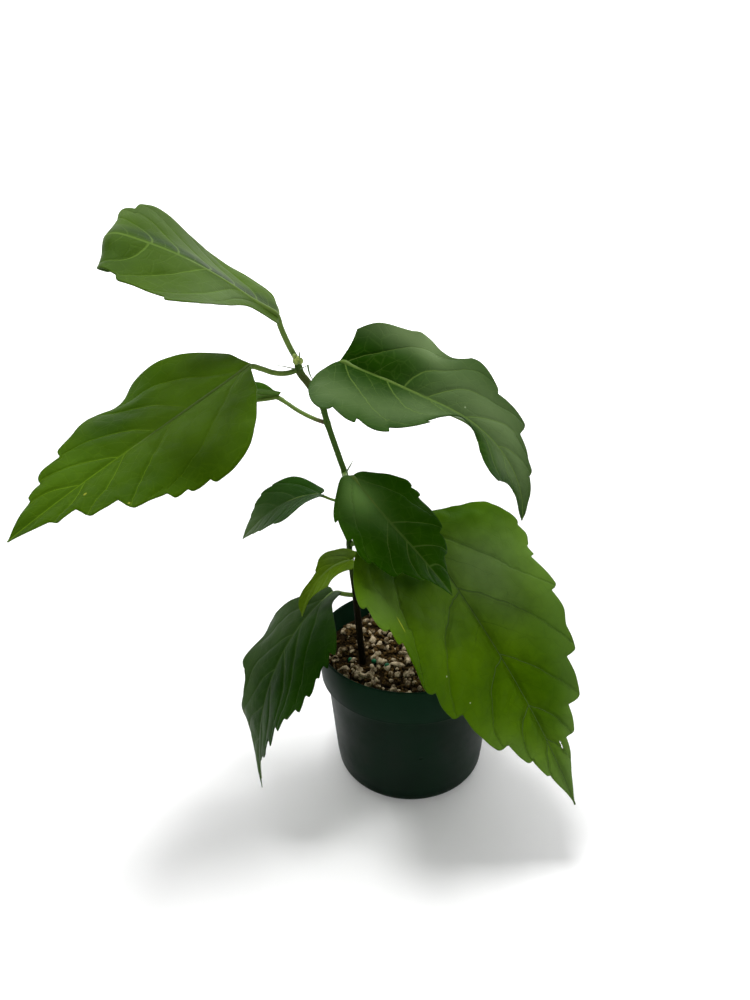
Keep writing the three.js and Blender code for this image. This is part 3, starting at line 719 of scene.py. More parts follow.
LEAVES["leaf_big"] = dict(
    node=150, bend=(-15, -12, 158), base=(-2, -13, 171), stalk=1.5, length=172, wide=(54, 57),
    heading=(-58, -38, -36), pitch=(-31, -51, -64), roll=(-18, 16, 32), fold=(18, 7), cup=(-3, 1),
    wave=(7, 2, 50, 196), tip=1.4, shoulder=0.4, lobe=(-0.03, 0), puff=1.7, keel=1,
    # painted sunlight and painted shade, and along the edge near the base the painted shadow that
    # leaf_centre casts
    painted_sheen_and_shade=(
        (0.24, 0.3, 0.12, 0.35, 0.65), (0.38, 0.42, 0.1, 0.25, 0.25), (0.2, 0.75, 0.15, 0.35, 0.15),
        (0.85, 0.9, 0.15, 0.4, 0.2), (0.5, 0.95, 0.3, 0.3, 0.35), (0.97, 0, 0.16, 2, 0.5),
        (0.72, -0.9, 0.12, 0.3, 0.2), (0.19, -0.88, 0.06, 0.25, 0.3), (0.33, -0.4, 0.07, 0.25, 0.15),
        (0.04, 0.6, 0.12, 0.5, -0.8), (0.48, 0.95, 0.13, 0.3, -0.4), (0.65, 0.35, 0.14, 0.6, -0.6),
        (0.58, -0.55, 0.12, 0.5, -0.35), (0.42, -0.95, 0.1, 0.25, -0.5), (0.04, -0.8, 0.04, 0.25, -0.8),
        (0.1, -0.7, 0.03, 0.15, -0.9), (0.15, -0.6, 0.03, 0.13, -1), (0.195, -0.46, 0.03, 0.13, -1),
        (0.22, -0.32, 0.022, 0.12, -0.7),
    ),
    marks=(
        (0.255, -0.85, 4.2, 0.35, (0.36, 0.40, 0.03)), (0.43, -0.76, 0.5, 0.5, (0.40, 0.45, 0.28)),
        (0.53, -0.76, 0.45, 0.45, (0.40, 0.45, 0.28)),
    ),
    slits=((0.81, 0.555, 2.4, 0.22),),
    edges=([
        [(0, 0.98), (0.05, 0.91), (0.155, 0.98)], [(0.16, 0.96), (0.2, 1.01), (0.245, 0.98)],
        [(0.25, 0.95), (0.285, 0.97)], [(0.29, 0.92), (0.34, 0.97), (0.405, 1.0)],
        [(0.41, 0.92), (0.46, 0.96), (0.5, 0.94)], [(0.505, 0.94), (0.58, 1.04)],
        [(0.585, 0.9), (0.64, 1.05), (0.705, 1.17)], [(0.71, 0.88), (0.75, 0.98), (0.79, 1.02)],
        [(0.79, 0.7), (0.84, 0.84), (0.9, 0.82), (1, 1)],
    ], [
        [(0, 1.0), (0.04, 1.0), (0.155, 1.09)], [(0.16, 1.03), (0.2, 1.06), (0.235, 1.05)],
        [(0.235, 0.99), (0.28, 1.02)], [(0.285, 0.97), (0.35, 1.03), (0.43, 1.07)],
        [(0.43, 1.0), (0.48, 1.06), (0.535, 1.08)], [(0.54, 0.96), (0.6, 1.07), (0.695, 1.16)],
        [(0.7, 0.94), (0.745, 1.04), (0.785, 1.06)], [(0.79, 0.89), (0.86, 1.04)],
        [(0.86, 0.88), (0.92, 1.05), (1, 1)],
    ]),
    veins=([
        (0.04, 0.23, 0.4), (0.28, 0.41, 0.56), (0.5, 0.6, 0.69), (0.67, 0.73, 0.79), (0.78, 0.82, 0.86),
    ], [
        (0.02, 0.14, 0.4), (0.29, 0.37, 0.54), (0.51, 0.575, 0.71), (0.67, 0.71, 0.81),
        (0.79, 0.83, 0.88),
    ]),
)
LEAVES["leaf_twisted"] = dict(
    node=142, bend=(-30.5, -16, 144), base=(-31.3, -20, 147), stalk=1.0, length=43, wide=(13, 9),
    heading=(188, 194, 192), pitch=(-5, -51, -76), roll=(-33, -38, -46), fold=(25, 25), cup=(6, 4),
    wave=(2.5, 1.5, -8, 0), tip=1.02, shoulder=0.36, lobe=(0.12, 0.12), puff=0.25,
    # painted sheen
    painted_sheen_and_shade=((0.15, -0.6, 0.12, 0.5, 0.4),),
    edges=([
        [(0, 0.75), (0.16, 0.67), (0.31, 0.69), (0.4, 0.8)],
        [(0.405, 0.78), (0.52, 0.63), (0.67, 0.45), (0.8, 0.35), (1, 0.5)],
    ], [
        [(0, 0.9), (0.13, 0.77), (0.2, 0.84), (0.29, 0.82), (0.42, 0.58)],
        [(0.43, 0.46), (0.5, 0.44), (0.56, 0.5), (0.66, 0.71), (0.78, 1.0), (0.89, 1.25), (1, 1)],
    ]),
    veins=([
        (0.0, 0.2, 0.42), (0.24, 0.38, 0.55), (0.45, 0.57, 0.7), (0.65, 0.72, 0.82),
    ], [
        (0.0, 0.18, 0.38), (0.2, 0.34, 0.5), (0.4, 0.52, 0.65), (0.6, 0.68, 0.8),
    ]),
)
LEAVES["leaf_low"] = dict(
    node=119, bend=(-36, -10, 120.2), base=(-41.5, -11, 123), stalk=1.3, length=128, wide=(37, 30),
    heading=(223, 218, 209), pitch=(-10, -66, -91), roll=(11, 7, 11), fold=(12, 0), cup=(-13, -5),
    wave=(5, 1.5, 112, 119), tip=1.11, shoulder=0.49, lobe=(0, 0.02), puff=0.6, keel=1,
    # painted sheen and painted shade
    painted_sheen_and_shade=(
        (0.2, -0.3, 0.15, 0.5, 0.22), (0.5, -0.8, 0.4, 0.4, 0.2), (0.95, 0, 0.25, 2, 0.2),
        (0.2, 0.7, 0.15, 0.5, -0.75), (0.4, 0.2, 0.15, 0.3, -0.4), (0.04, 0, 0.1, 2, 0.12),
    ),
    marks=((0.69, -0.9, 3.2, 1.2, (0.10, 0.085, 0.022)),),
    edges=([
        [(0, 0.4), (0.06, 0.4), (0.09, 0.6), (0.12, 0.95), (0.185, 1.03)], [(0.19, 0.92), (0.24, 1.0)],
        [(0.26, 0.91), (0.292, 0.96)], [(0.3, 0.92), (0.335, 1.0), (0.362, 1.02)],
        [(0.37, 0.96), (0.4, 1.05), (0.418, 1.08)], [(0.43, 0.98), (0.472, 0.99)],
        [(0.483, 0.92), (0.53, 0.98)], [(0.545, 0.84), (0.58, 0.98), (0.605, 1.02)],
        [(0.63, 0.81), (0.68, 0.87), (0.72, 0.87)],
        [(0.735, 0.72), (0.78, 0.6), (0.83, 0.42), (0.9, 0.3), (1, 0.5)],
    ], [
        [(0, 0.4), (0.08, 0.62), (0.12, 1.1), (0.16, 1.12), (0.22, 1.13)],
        [(0.225, 1.1), (0.29, 0.98), (0.34, 1.02), (0.4, 1.13), (0.45, 1.16), (0.485, 1.09)],
        [(0.49, 1.02), (0.52, 0.94), (0.56, 0.96), (0.62, 1.1), (0.68, 1.4), (0.715, 1.5)],
        [(0.72, 1.38), (0.77, 1.38)], [(0.775, 1.33), (0.83, 1.36)], [(0.835, 1.3), (0.93, 1.4), (1, 1)],
    ]),
    veins=([
        (0.03, 0.24, 0.47), (0.19, 0.36, 0.55), (0.32, 0.43, 0.61), (0.46, 0.56, 0.68), (0.6, 0.68, 0.78),
        (0.74, 0.8, 0.88),
    ], [
        (0.05, 0.21, 0.4), (0.25, 0.4, 0.6), (0.41, 0.55, 0.72), (0.58, 0.68, 0.8), (0.74, 0.8, 0.88),
    ]),
)


def along(setting, s):
    """A value that runs smoothly through its base, middle and tip settings."""
    base, middle, tip = setting
    return base * (1 - s) * (1 - 2 * s) + middle * 4 * s * (1 - s) + tip * s * (2 * s - 1)


def midrib(leaf, steps=60):
    """Places along the midrib, each with the way ahead, the way across and the way up."""
    frames = []
    at = Vector(leaf["base"])
    turn_under, turn_from, turn_run = leaf.get("curl", FLAT_CURL)
    for i in range(steps + 1):
        s = i / steps
        h, p, r = (math.radians(along(leaf[key], s)) for key in ("heading", "pitch", "roll"))
        ahead = Vector((math.cos(p) * math.cos(h), math.cos(p) * math.sin(h), math.sin(p)))
        level = Vector((-math.sin(h), math.cos(h), 0))
        up = ahead.cross(level)
        side = level * math.cos(r) + up * math.sin(r)
        top = up * math.cos(r) - level * math.sin(r)
        share = smooth_step(s, turn_from, turn_from + turn_run)
        turned = Quaternion(side, math.radians(turn_under) * share)
        ahead = turned @ ahead
        top = turned @ top
        if frames:
            at = at + (frames[-1][1] + ahead) * (leaf["length"] / steps / 2)
        frames.append((at, ahead, side, top))
    return frames


def frame_at(frames, s):
    place = min(max(s, 0.0), 1.0) * (len(frames) - 1)
    i = min(int(place), len(frames) - 2)
    at, ahead, side, top = (a.lerp(b, place - i) for a, b in zip(frames[i], frames[i + 1]))
    return at, ahead.normalized(), side.normalized(), top.normalized()


def outline(leaf, u):
    """The smooth ovate outline: 1 at its widest, a point at the tip."""
    tip, shoulder = leaf["tip"], leaf["shoulder"]

    def shape(s):
        return (1 - s) ** tip * (s + BLADE_START) ** shoulder

    return shape(u) / shape((shoulder - tip * BLADE_START) / (tip + shoulder))


def margin(runs, u):
    """How far the margin stands out against the smooth outline, in a smooth line along each tooth."""
    tooth = next((k for k, r in enumerate(runs) if u <= r[-1][0]), len(runs) - 1)
    run = runs[tooth]
    i = min(max(bisect_right([p[0] for p in run], u) - 1, 0), len(run) - 2)
    (u0, m0), (u1, m1) = run[i], run[i + 1]
    before = run[i - 1] if i > 0 else run[i]
    after = run[i + 2] if i + 2 < len(run) else run[i + 1]
    slope0 = (m1 - before[1]) / (u1 - before[0])
    slope1 = (after[1] - m0) / (after[0] - u0) if after is not run[i + 1] else 0.0
    t = min(max((u - u0) / (u1 - u0), 0.0), 1.0)
    rise = (u1 - u0) * (slope0 * t * (1 - t) ** 2 - slope1 * t * t * (1 - t))
    reach = m0 + (m1 - m0) * t * t * (3 - 2 * t) + rise
    if tooth < len(runs) - 1:
        # the end of a tooth rounds over into the notch behind it
        blunt = min(0.15 * (run[-1][0] - run[0][0]), 0.02)
        over = max(u - run[-1][0] + blunt, 0.0) / blunt
        reach -= (run[-1][1] - runs[tooth + 1][0][1]) * (1 - math.sqrt(1 - min(over, 1.0) ** 2))
    return reach


@lru_cache(maxsize=None)
def edge_shape(name, side, u):
    """The margin evened out over its teeth, and how far the tooth at this place stands out from that."""
    runs = LEAVES[name]["edges"][side]
    nearby = [min(max(u + step, 0.0), 1.0) for step in (-0.04, -0.02, 0.0, 0.02, 0.04)]
    even = sum(margin(runs, near) for near in nearby) / len(nearby)
    return even, margin(runs, u) - even


def vein_count(leaf, side, u, d):
    """Counts the side veins passed at a place: a whole number on a vein, between two of them elsewhere."""
    marks = [along(vein, d) for vein in leaf["veins"][side]]
    marks = [min(marks[0] - 0.12, -0.02)] + marks + [max(marks[-1] + 0.1, 1.02)]
    i = min(max(bisect_right(marks, u) - 1, 0), len(marks) - 2)
    gap = max(marks[i + 1] - marks[i], 1e-4)
    return i + min(max((u - marks[i]) / gap, 0.0), 1.0), gap * leaf["length"]


def near_spots(leaf, kind, u, v):
    """Each spot's value, with the share of it that reaches a place."""
    for at_u, at_v, spread_u, spread_v, value in leaf.get(kind, ()):
        yield value, math.exp(-(((u - at_u) / spread_u) ** 2) - ((v - at_v) / spread_v) ** 2)


def blade_point(name, frames, u, v, side, lift=0.0):
    """The place at u and v, lifted off the blade's middle, and where that is on the flat blade.

    With it come the count of side veins passed there, and how far apart they are.
    """
    leaf = LEAVES[name]
    even, tooth = edge_shape(name, side, u)
    d = abs(v)
    out = d * (even + tooth * d**4)
    full = leaf["wide"][side]
    across = max(out * full * outline(leaf, u), BLADE_LEAST * d)
    lobes = leaf["lobe"][side] * math.sin(math.pi * out**0.9)
    rounding = leaf.get("round", (BLADE_ROUND, BLADE_ROUND))[side]
    s = u + (1 - u) ** 4 * (rounding * out**3 - lobes) + BLADE_SWEEP * u * (1 - u) * out**1.5
    at, ahead, level, top = frame_at(frames, s)
    if s < 0:
        at = at + ahead * (s * leaf["length"])
    fold = math.radians(leaf["fold"][side])
    bend = math.radians(leaf["cup"][side]) / full + 1e-5
    angle = fold + bend * across
    sideways = (math.sin(angle) - math.sin(fold)) / bend
    amount, count, *phase = leaf["wave"]
    ripple = amount * (across / full) ** 2 * math.sin(math.tau * count * s + math.radians(phase[side]))
    upwards = (math.cos(fold) - math.cos(angle)) / bend + ripple
    hand = 1 if side == 0 else -1
    # the tissue puffs up between the veins, and here and there rises or sinks as a whole
    passed, gap = vein_count(leaf, side, u, d)
    off = abs(passed - round(passed)) * 2
    tissue = smooth_step(across, 0, PUFF_RUN) * (1 - 0.5 * d**4)
    swell = (1 - (1 - off) ** 2.2) * min(1.0, gap / PUFF_GAP)
    run = s * leaf["length"]
    quilt = noise.noise(Vector((across / QUILT_SIZE * hand, run / QUILT_SIZE, leaf["node"])))
    groove = 0.35 * math.exp(-((across / GROOVE_WIDTH) ** 2))
    lift += leaf["puff"] * (tissue * (swell + 0.7 * quilt) - groove)
    for height, share in near_spots(leaf, "humps", u, v):
        lift += height * share
    at = at + level * (hand * (sideways - lift * math.sin(angle)))
    at = at + top * (upwards + lift * math.cos(angle))
    return at, across * hand, run, passed, gap


def lay_maps(bm, name, frames):
    """The blade laid out flat, its veins, how far out and along a place is, and its painted sheen and
    shade, as maps.
    """
    flat, veins, reach, painted_sheen_and_shade = [bm.loops.layers.uv.new(m) for m in BLADE_MAPS]
    for face in bm.faces:
        side = 0 if face.calc_center_median().x > 0 else 1
        for loop in face.loops:
            v, u = loop.vert.co.x, (loop.vert.co.y + 1) / 2
            at, across, run, passed, gap = blade_point(name, frames, u, v, side)
            loop[flat].uv = (across / MAP_UNIT, run / MAP_UNIT)
            loop[veins].uv = (passed, gap / MAP_UNIT)
            loop[reach].uv = (abs(v), u)
            # painted sheen in the spot map's first channel, painted shade in its second
            spots = [amount * share for amount, share in near_spots(LEAVES[name], "painted_sheen_and_shade", u, v)]
            loop[painted_sheen_and_shade].uv = (sum(a for a in spots if a > 0), -sum(a for a in spots if a < 0))
    return flat


def tear_slits(bm, flat, name, frames):
    """Takes out the faces where the blade is torn."""
    for at_u, at_v, half_run, half_across in LEAVES[name].get("slits", ()):
        across, run = blade_point(name, frames, at_u, at_v, 0 if at_v > 0 else 1)[1:3]
        torn = []
        for face in bm.faces:
            spot = sum((loop[flat].uv for loop in face.loops), Vector((0, 0)))
            spot = spot * MAP_UNIT / len(face.loops)
            if abs(spot.x - across) < half_across and abs(spot.y - run) < half_run:
                torn.append(face)
        bmesh.ops.delete(bm, geom=torn, context="FACES")


def blade(name, frames):
    """A fine grid with its maps and tears, bent into the leaf, with its upper face upwards."""
    leaf = LEAVES[name]
    rows = max(BLADE_ROWS, int(leaf["length"] * ROWS_PER_MM))
    columns = 2 * max(BLADE_COLUMNS, int(max(leaf["wide"]) * COLUMNS_PER_MM))
    bm = bmesh.new()
    bmesh.ops.create_grid(bm, x_segments=columns, y_segments=rows, size=1.0)
    tear_slits(bm, lay_maps(bm, name, frames), name, frames)
    places = {}
    for vert in bm.verts:
        v, u = vert.co.x, (vert.co.y + 1) / 2
        places[vert] = blade_point(name, frames, u, v, 0 if v >= 0 else 1)[0]
    for vert, at in places.items():
        vert.co = at
    bm.normal_update()
    middle = frame_at(frames, 0.5)
    sample = min(bm.faces, key=lambda f: (f.calc_center_median() - middle[0]).length)
    if sample.normal.dot(middle[3]) < 0:
        bmesh.ops.reverse_faces(bm, faces=bm.faces)
    return bm


def vein_lines(tree, passed, gap, width):
    """1 on the side veins: the count of veins passed gives how far away the nearest one is."""
    off = calc(tree, "MULTIPLY", calc(tree, "PINGPONG", passed, 0.5), gap)
    return calc(tree, "SUBTRACT", 1.0, ease(tree, off, calc(tree, "MULTIPLY", width, 0.3), width))


# tints of the painted sheen, of the painted sunlight on the big leaf, and of the painted shade
PAINTED_SHEEN = (0.105, 0.160, 0.060)
PAINTED_SUNLIGHT = (0.125, 0.200, 0.062)
PAINTED_SHADE = (0.30, 0.42, 0.20)


def in_mark(tree, flat, mark):
    """1 inside a small oval mark that lies along the blade."""
    across, run, half_run, half_across = mark
    centre = (across / MAP_UNIT, run / MAP_UNIT, 0.0)
    moved = add(tree, "VectorMath", {0: flat, 1: centre}, operation="SUBTRACT").outputs[0]
    fitted = (MAP_UNIT / half_across, MAP_UNIT / half_run, 0.0)
    fitted = add(tree, "VectorMath", {0: moved, 1: fitted}, operation="MULTIPLY").outputs[0]
    far = add(tree, "VectorMath", {0: fitted}, operation="LENGTH").outputs["Value"]
    return ease(tree, far, 0.5, 1.0, 0.85, 0.0)


def vein_pattern(tree, flat):
    """The midrib and veins, the cores inside them and the shallow valleys they lie in, each from 0 to 1."""
    veins, reach = [add(tree, "UVMap", uv_map=m).outputs[0] for m in ("veins", "reach")]
    passed, gap = split(tree, veins)[:2]
    out = split(tree, reach)["X"]
    sideways, run = split(tree, flat)[:2]
    across = calc(tree, "ABSOLUTE", sideways)
    wander = calc(tree, "SUBTRACT", cloudy(tree, flat, 10.0, 2.0), 0.5)
    wobbly = calc(tree, "MULTIPLY_ADD", wander, 0.12, passed)
    side_veins = vein_lines(tree, wobbly, gap, ease(tree, out, 0.0, 1.0, *VEIN_WIDTH))
    # a small vein runs between each two, and fades on its way out
    twice, half_gap = calc(tree, "MULTIPLY", wobbly, 2.0), calc(tree, "MULTIPLY", gap, 0.5)
    small = vein_lines(tree, twice, half_gap, ease(tree, out, 0.0, 0.7, *SMALL_VEIN_WIDTH))
    small = calc(tree, "MULTIPLY", small, ease(tree, out, 0.2, 0.62, 0.4, 0.0))
    rib_width = ease(tree, run, 0.0, 1.3, *RIB_WIDTH)
    half_rib = calc(tree, "MULTIPLY", rib_width, 0.5)
    rib = calc(tree, "SUBTRACT", 1.0, ease(tree, across, half_rib, rib_width))
    lines = calc(tree, "MAXIMUM", calc(tree, "MAXIMUM", side_veins, small), rib)
    core_edge = calc(tree, "MULTIPLY", rib_width, 0.25)
    rib_core = ease(tree, across, core_edge, half_rib, 1.0, 0.0)
    vein_cores = vein_lines(tree, wobbly, gap, ease(tree, out, 0.0, 1.0, *CORE_WIDTH))
    vein_valleys = vein_lines(tree, wobbly, gap, ease(tree, out, 0.0, 1.0, *VALLEY_WIDTH))
    valleys = calc(tree, "MAXIMUM", vein_valleys, ease(tree, across, 0.004, 0.03, 1.0, 0.0))
    return lines, calc(tree, "MAXIMUM", rib_core, vein_cores), valleys


def net_pattern(tree, flat):
    """The net between the veins, in a coarse and a fine size, each from 0 to 1."""
    wander = add(tree, "TexNoise", {"Vector": flat, "Scale": 10.0, "Detail": 2.0}).outputs["Color"]
    shift = add(tree, "VectorMath", {0: wander, 1: (0.03, 0.03, 0.0)}, operation="MULTIPLY").outputs[0]
    bent = add(tree, "VectorMath", {0: flat, 1: shift}, operation="ADD").outputs[0]
    for scale, width in NETS:
        cells = add(tree, "TexVoronoi", {"Vector": bent, "Scale": scale}, feature="DISTANCE_TO_EDGE")
        yield ease(tree, cells.outputs["Distance"], 0.0, width, 1.0, 0.0)


def leaf_skin(name, dark, bright, vein, gloss, rough, relief, core_share=0, pale=PAINTED_SHEEN, marks=()):
    """Leaf tissue: mottled green with paler veins, a faint net between them, a soft waxy shine, and spots
    of painted sheen and painted shade.
    """
    finish, tree, shader = new_finish(name, Specular_IOR_Level=gloss, Specular_Tint=(0.25, 0.6, 0.02))
    flat, painted_sheen_and_shade = [add(tree, "UVMap", uv_map=m).outputs[0] for m in ("flat", "painted_sheen_and_shade")]
    lines, cores, valleys = vein_pattern(tree, flat)
    net, fine_net = net_pattern(tree, flat)
    mottle = cloudy(tree, flat, 3.4, 5.0, 0.55)
    colour = blend_colours(tree, ease(tree, mottle, 0.3, 0.7), dark, bright)
    colour = blend_colours(tree, calc(tree, "MULTIPLY", net, 0.07), colour, vein)
    # painted sheen mixes in the pale tint, and painted shade darkens the colour, where the spots say
    painted_sheen_share, depth = split(tree, painted_sheen_and_shade)[:2]
    colour = blend_colours(tree, calc(tree, "MINIMUM", painted_sheen_share, 1.0), colour, pale)
    depth = calc(tree, "MINIMUM", depth, 1.0)
    colour = blend_colours(tree, depth, colour, PAINTED_SHADE, "MULTIPLY")
    veined = calc(tree, "MULTIPLY", lines, 0.45 + 0.4 * core_share)
    colour = blend_colours(tree, veined, colour, vein)
    colour = blend_colours(tree, calc(tree, "MULTIPLY", cores, core_share), colour, pale)
    for *mark, tint in marks:
        colour = blend_colours(tree, in_mark(tree, flat, mark), colour, tint)
    height = calc(tree, "MULTIPLY_ADD", lines, -relief, calc(tree, "MULTIPLY", net, -0.22))
    height = calc(tree, "MULTIPLY_ADD", valleys, relief * -1.2, height)
    height = calc(tree, "MULTIPLY_ADD", fine_net, -0.06, height)
    height = calc(tree, "MULTIPLY_ADD", mottle, 0.3, height)
    coat(tree, shader, colour, height, 0.5, 0.0005)
    shine = ease(tree, mottle, 0.3, 0.7, rough - 0.04, rough + 0.06)
    tree.links.new(shine, shader.inputs["Roughness"])
    return finish


# Each leaf's own tissue in shade and in light, its veins, gloss and roughness, and how far they dent.
# core_share is how strongly the veins show a core in the pale tint, which is also the tint of the painted
# sheen.
SKINS = {
    "leaf_top": dict(
        dark=(0.037, 0.076, 0.003), bright=(0.054, 0.106, 0.006), vein=(0.13, 0.22, 0.03),
        gloss=0.12, rough=0.55, relief=0.4,
    ),
    "leaf_left": dict(
        dark=(0.030, 0.070, 0.001), bright=(0.042, 0.090, 0.002), vein=(0.13, 0.23, 0.01),
        gloss=0.04, rough=0.46, relief=0.6, pale=(0.105, 0.210, 0.012),
    ),
    "leaf_right": dict(
        dark=(0.007, 0.031, 0.0005), bright=(0.013, 0.045, 0.001), vein=(0.13, 0.21, 0.04),
        gloss=0.02, rough=0.42, relief=0.5, pale=(0.120, 0.180, 0.070),
    ),
    "leaf_back": dict(
        dark=(0.024, 0.072, 0.002), bright=(0.036, 0.095, 0.003), vein=(0.12, 0.22, 0.04),
        gloss=0.20, rough=0.42, relief=0.6,
    ),
    "leaf_centre": dict(
        dark=(0.010, 0.046, 0.0003), bright=(0.019, 0.064, 0.0005), vein=(0.09, 0.15, 0.03),
        gloss=0.03, rough=0.4, relief=0.7, pale=(0.140, 0.265, 0.060),
    ),
    "leaf_small": dict(
        dark=(0.008, 0.040, 0.001), bright=(0.014, 0.055, 0.002), vein=(0.05, 0.09, 0.02),
        gloss=0.04, rough=0.38, relief=0.6,
    ),
    # painted shade: the big leaf's veins are drawn darker than its tissue, for the shade in their grooves
    "leaf_big": dict(
        dark=(0.048, 0.108, 0.001), bright=(0.076, 0.156, 0.001), vein=(0.004, 0.020, 0.0003),
        gloss=0.03, rough=0.45, relief=1.7, core_share=0.5, pale=PAINTED_SUNLIGHT,
    ),
    "leaf_twisted": dict(
        dark=(0.066, 0.120, 0.003), bright=(0.085, 0.148, 0.006), vein=(0.13, 0.21, 0.02),
        gloss=0.10, rough=0.5, relief=0.5,
    ),
    "leaf_low": dict(
        dark=(0.006, 0.026, 0.0003), bright=(0.011, 0.040, 0.001), vein=(0.05, 0.09, 0.02),
        gloss=0.02, rough=0.45, relief=0.8,
    ),
}
# veins stand out on the underside, so their relief is turned round
UNDERSIDE = dict(
    dark=(0.055, 0.115, 0.016), bright=(0.075, 0.15, 0.022), vein=(0.17, 0.27, 0.07),
    gloss=0.2, rough=0.55, relief=-0.8,
)
STALK_SPOTS = (0.012, 0.035, 0.008)
STALK_GREEN = (0.115, 0.190, 0.026)
STALK_FOOT = (0.085, 0.150, 0.022)
STALK_RED = (0.085, 0.048, 0.022)
RED_STALKS = ("leaf_back", "leaf_small")


def stalk_finish(name, foot):
    """A stalk's skin: one tint where it leaves the stem, green under the blade."""
    finish, tree, shader = new_finish(name, Roughness=0.5, Specular_IOR_Level=0.15)
    run = split(tree, add(tree, "UVMap", uv_map="stalk").outputs[0])["X"]
    spots = cloudy(tree, object_place(tree), 900.0, 3.0)
    colour = blend_colours(tree, ease(tree, run, 0.0, 0.25), foot, STALK_GREEN)
    colour = blend_colours(tree, calc(tree, "MULTIPLY", spots, 0.35), colour, STALK_SPOTS)
    coat(tree, shader, colour, spots, 0.3, 0.0003)
    return finish


def underside(name, frames, u, v, side, sink):
    """A place that lies deeper than the blade's underside."""
    return blade_point(name, frames, u, v, side, -BLADE_THICKNESS / 2 - sink)[0]


def stalk_route(name, frames, keel):
    """The places of the stalk, from the stem to under the blade, and those of the midrib from there on."""
    leaf = LEAVES[name]
    start = min(stem_route, key=lambda p: abs(p.z - leaf["node"]))
    bend, base = Vector(leaf["bend"]), Vector(leaf["base"])
    start = start + (bend - start).normalized()
    stalk = [start]
    for i in range(1, 5):
        t = i / 5
        stalk.append(start * (1 - t) ** 2 + bend * 2 * t * (1 - t) + base * t * t)
    # a keel hangs well below the blade, elsewhere the midrib shows on top as well
    for u in (0.01, RIB_RUN / 2, RIB_RUN):
        stalk.append(underside(name, frames, u, 0, 0, 0.35 + keel * u / RIB_RUN))
    rib = [underside(name, frames, i / 20, 0, 0, 0.1 + keel * (1 - i / 20)) for i in range(4, 20)]
    return stalk, rib


def ribs(name, frames):
    """The stalk, the midrib that carries it on to the tip, and the side ribs under the blade."""
    leaf = LEAVES[name]
    keel = leaf.get("keel", 0) * leaf["stalk"] * KEEL_SHARE
    stalk, rib = stalk_route(name, frames, keel)
    stalk_length = sum((b - a).length for a, b in zip(stalk, stalk[1:]))
    taper_start = stalk_length / (stalk_length + leaf["length"] * 0.85) * 0.75

    def stalk_radius(t):
        if t < taper_start:
            return leaf["stalk"]
        return leaf["stalk"] * (1 - smooth_step(t, taper_start, 1.0)) ** 1.5 + STALK_END

    def rib_radius(t):
        return leaf["stalk"] * RIB_SHARE * (1 - t) + RIB_END

    bm = bmesh.new()
    run_map = bm.loops.layers.uv.new("stalk")
    path = smooth_route(stalk + rib, steps=150)
    limb(bm, path, stalk_radius, STALK_SIDES)
    for face in bm.faces:
        for loop in face.loops:
            near = (loop.vert.co - path[0]).length
            loop[run_map].uv = (min(near / max(stalk_length, 1), 1.0), 0)
    stalk_faces = set(bm.faces)
    for side, hand in enumerate((1, -1)):
        for vein in leaf["veins"][side]:
            # a side rib follows its vein and ends short of the margin
            places = []
            for d in (i / 22 for i in range(19)):
                u = min(along(vein, d), 0.97)
                places.append(underside(name, frames, u, d * hand, side, keel * 0.2))
            limb(bm, places, rib_radius, RIB_SIDES)
    for face in bm.faces:
        if face not in stalk_faces:
            for loop in face.loops:
                loop[run_map].uv = (1.0, 0)
    bmesh.ops.recalc_face_normals(bm, faces=bm.faces)
    return bm


under_skin = leaf_skin("leaf_underside", **UNDERSIDE)
green_stalk = stalk_finish("stalk_green", STALK_FOOT)
red_stalk = stalk_finish("stalk_red", STALK_RED)

for name, leaf in LEAVES.items():
    frames = midrib(leaf)
    marks = []
    for u, v, *mark in leaf.get("marks", ()):
        across, run = blade_point(name, frames, u, v, 0 if v > 0 else 1)[1:3]
        marks.append((across, run, *mark))
    skin = leaf_skin(name + "_skin", **SKINS[name], marks=marks)
    piece = build_piece(name + "_blade", blade(name, frames), [skin, under_skin], "leaf", name)
    shell = piece.modifiers.new("thickness", "SOLIDIFY")
    shell.thickness = BLADE_THICKNESS * MM
    shell.offset = 0
    shell.material_offset = 1
    shell.material_offset_rim = 0
    stalk = red_stalk if name in RED_STALKS else green_stalk
    build_piece(name + "_stalk", ribs(name, frames), [stalk], "leaf", name)

# Buds: a tight cluster of young yellow-green buds at the tip of the stem, soft and slightly downy.
# Hair-thin stipules stand beside the leaf bases, where two small scales guard each young leaf.
BUD_PLACES = (
    ((-53.2, -11.8, 250.4), (1.6, 1.5, 1.9)),
    ((-51.1, -11.8, 250.4), (1.4, 1.4, 1.6)),
    ((-53.8, -11.8, 252.8), (1.0, 1.0, 1.2)),
    ((-52.2, -12.4, 251.8), (0.9, 0.9, 1.2)),
)
# each runs through three places, with its half thickness where it starts
HAIRS = (
    (((-51.6, -12.3, 251.6), (-51.2, -12.8, 254.0), (-50.7, -13.0, 256.0)), 0.42),
    (((-54.2, -10.4, 246.3), (-59.2, -10.8, 247.7), (-63.6, -11.2, 248.6)), 0.24),
    (((-51.5, -10.2, 246.1), (-49.5, -10.4, 247.1), (-47.3, -10.8, 248.2)), 0.24),
    (((-47.9, -10.8, 248.2), (-47.3, -10.8, 244.2), (-45.7, -10.8, 240.2)), 0.46),
    (((-31.8, -10.2, 192.2), (-29.7, -10.8, 195.9), (-27.8, -11.2, 199.4)), 0.42),
    (((-46.6, -9.4, 235.6), (-47.6, -9.6, 234.6), (-48.4, -9.8, 233.0)), 0.2),
    (((-41.6, -9.0, 225.2), (-42.6, -9.2, 224.2), (-43.4, -9.4, 222.8)), 0.2),
    (((-33.0, -9.6, 189.8), (-34.2, -10.0, 189.0), (-35.2, -10.4, 188.2)), 0.2),
)
HAIR_SIDES = 8
BUD_SHADE = (0.09, 0.15, 0.015)
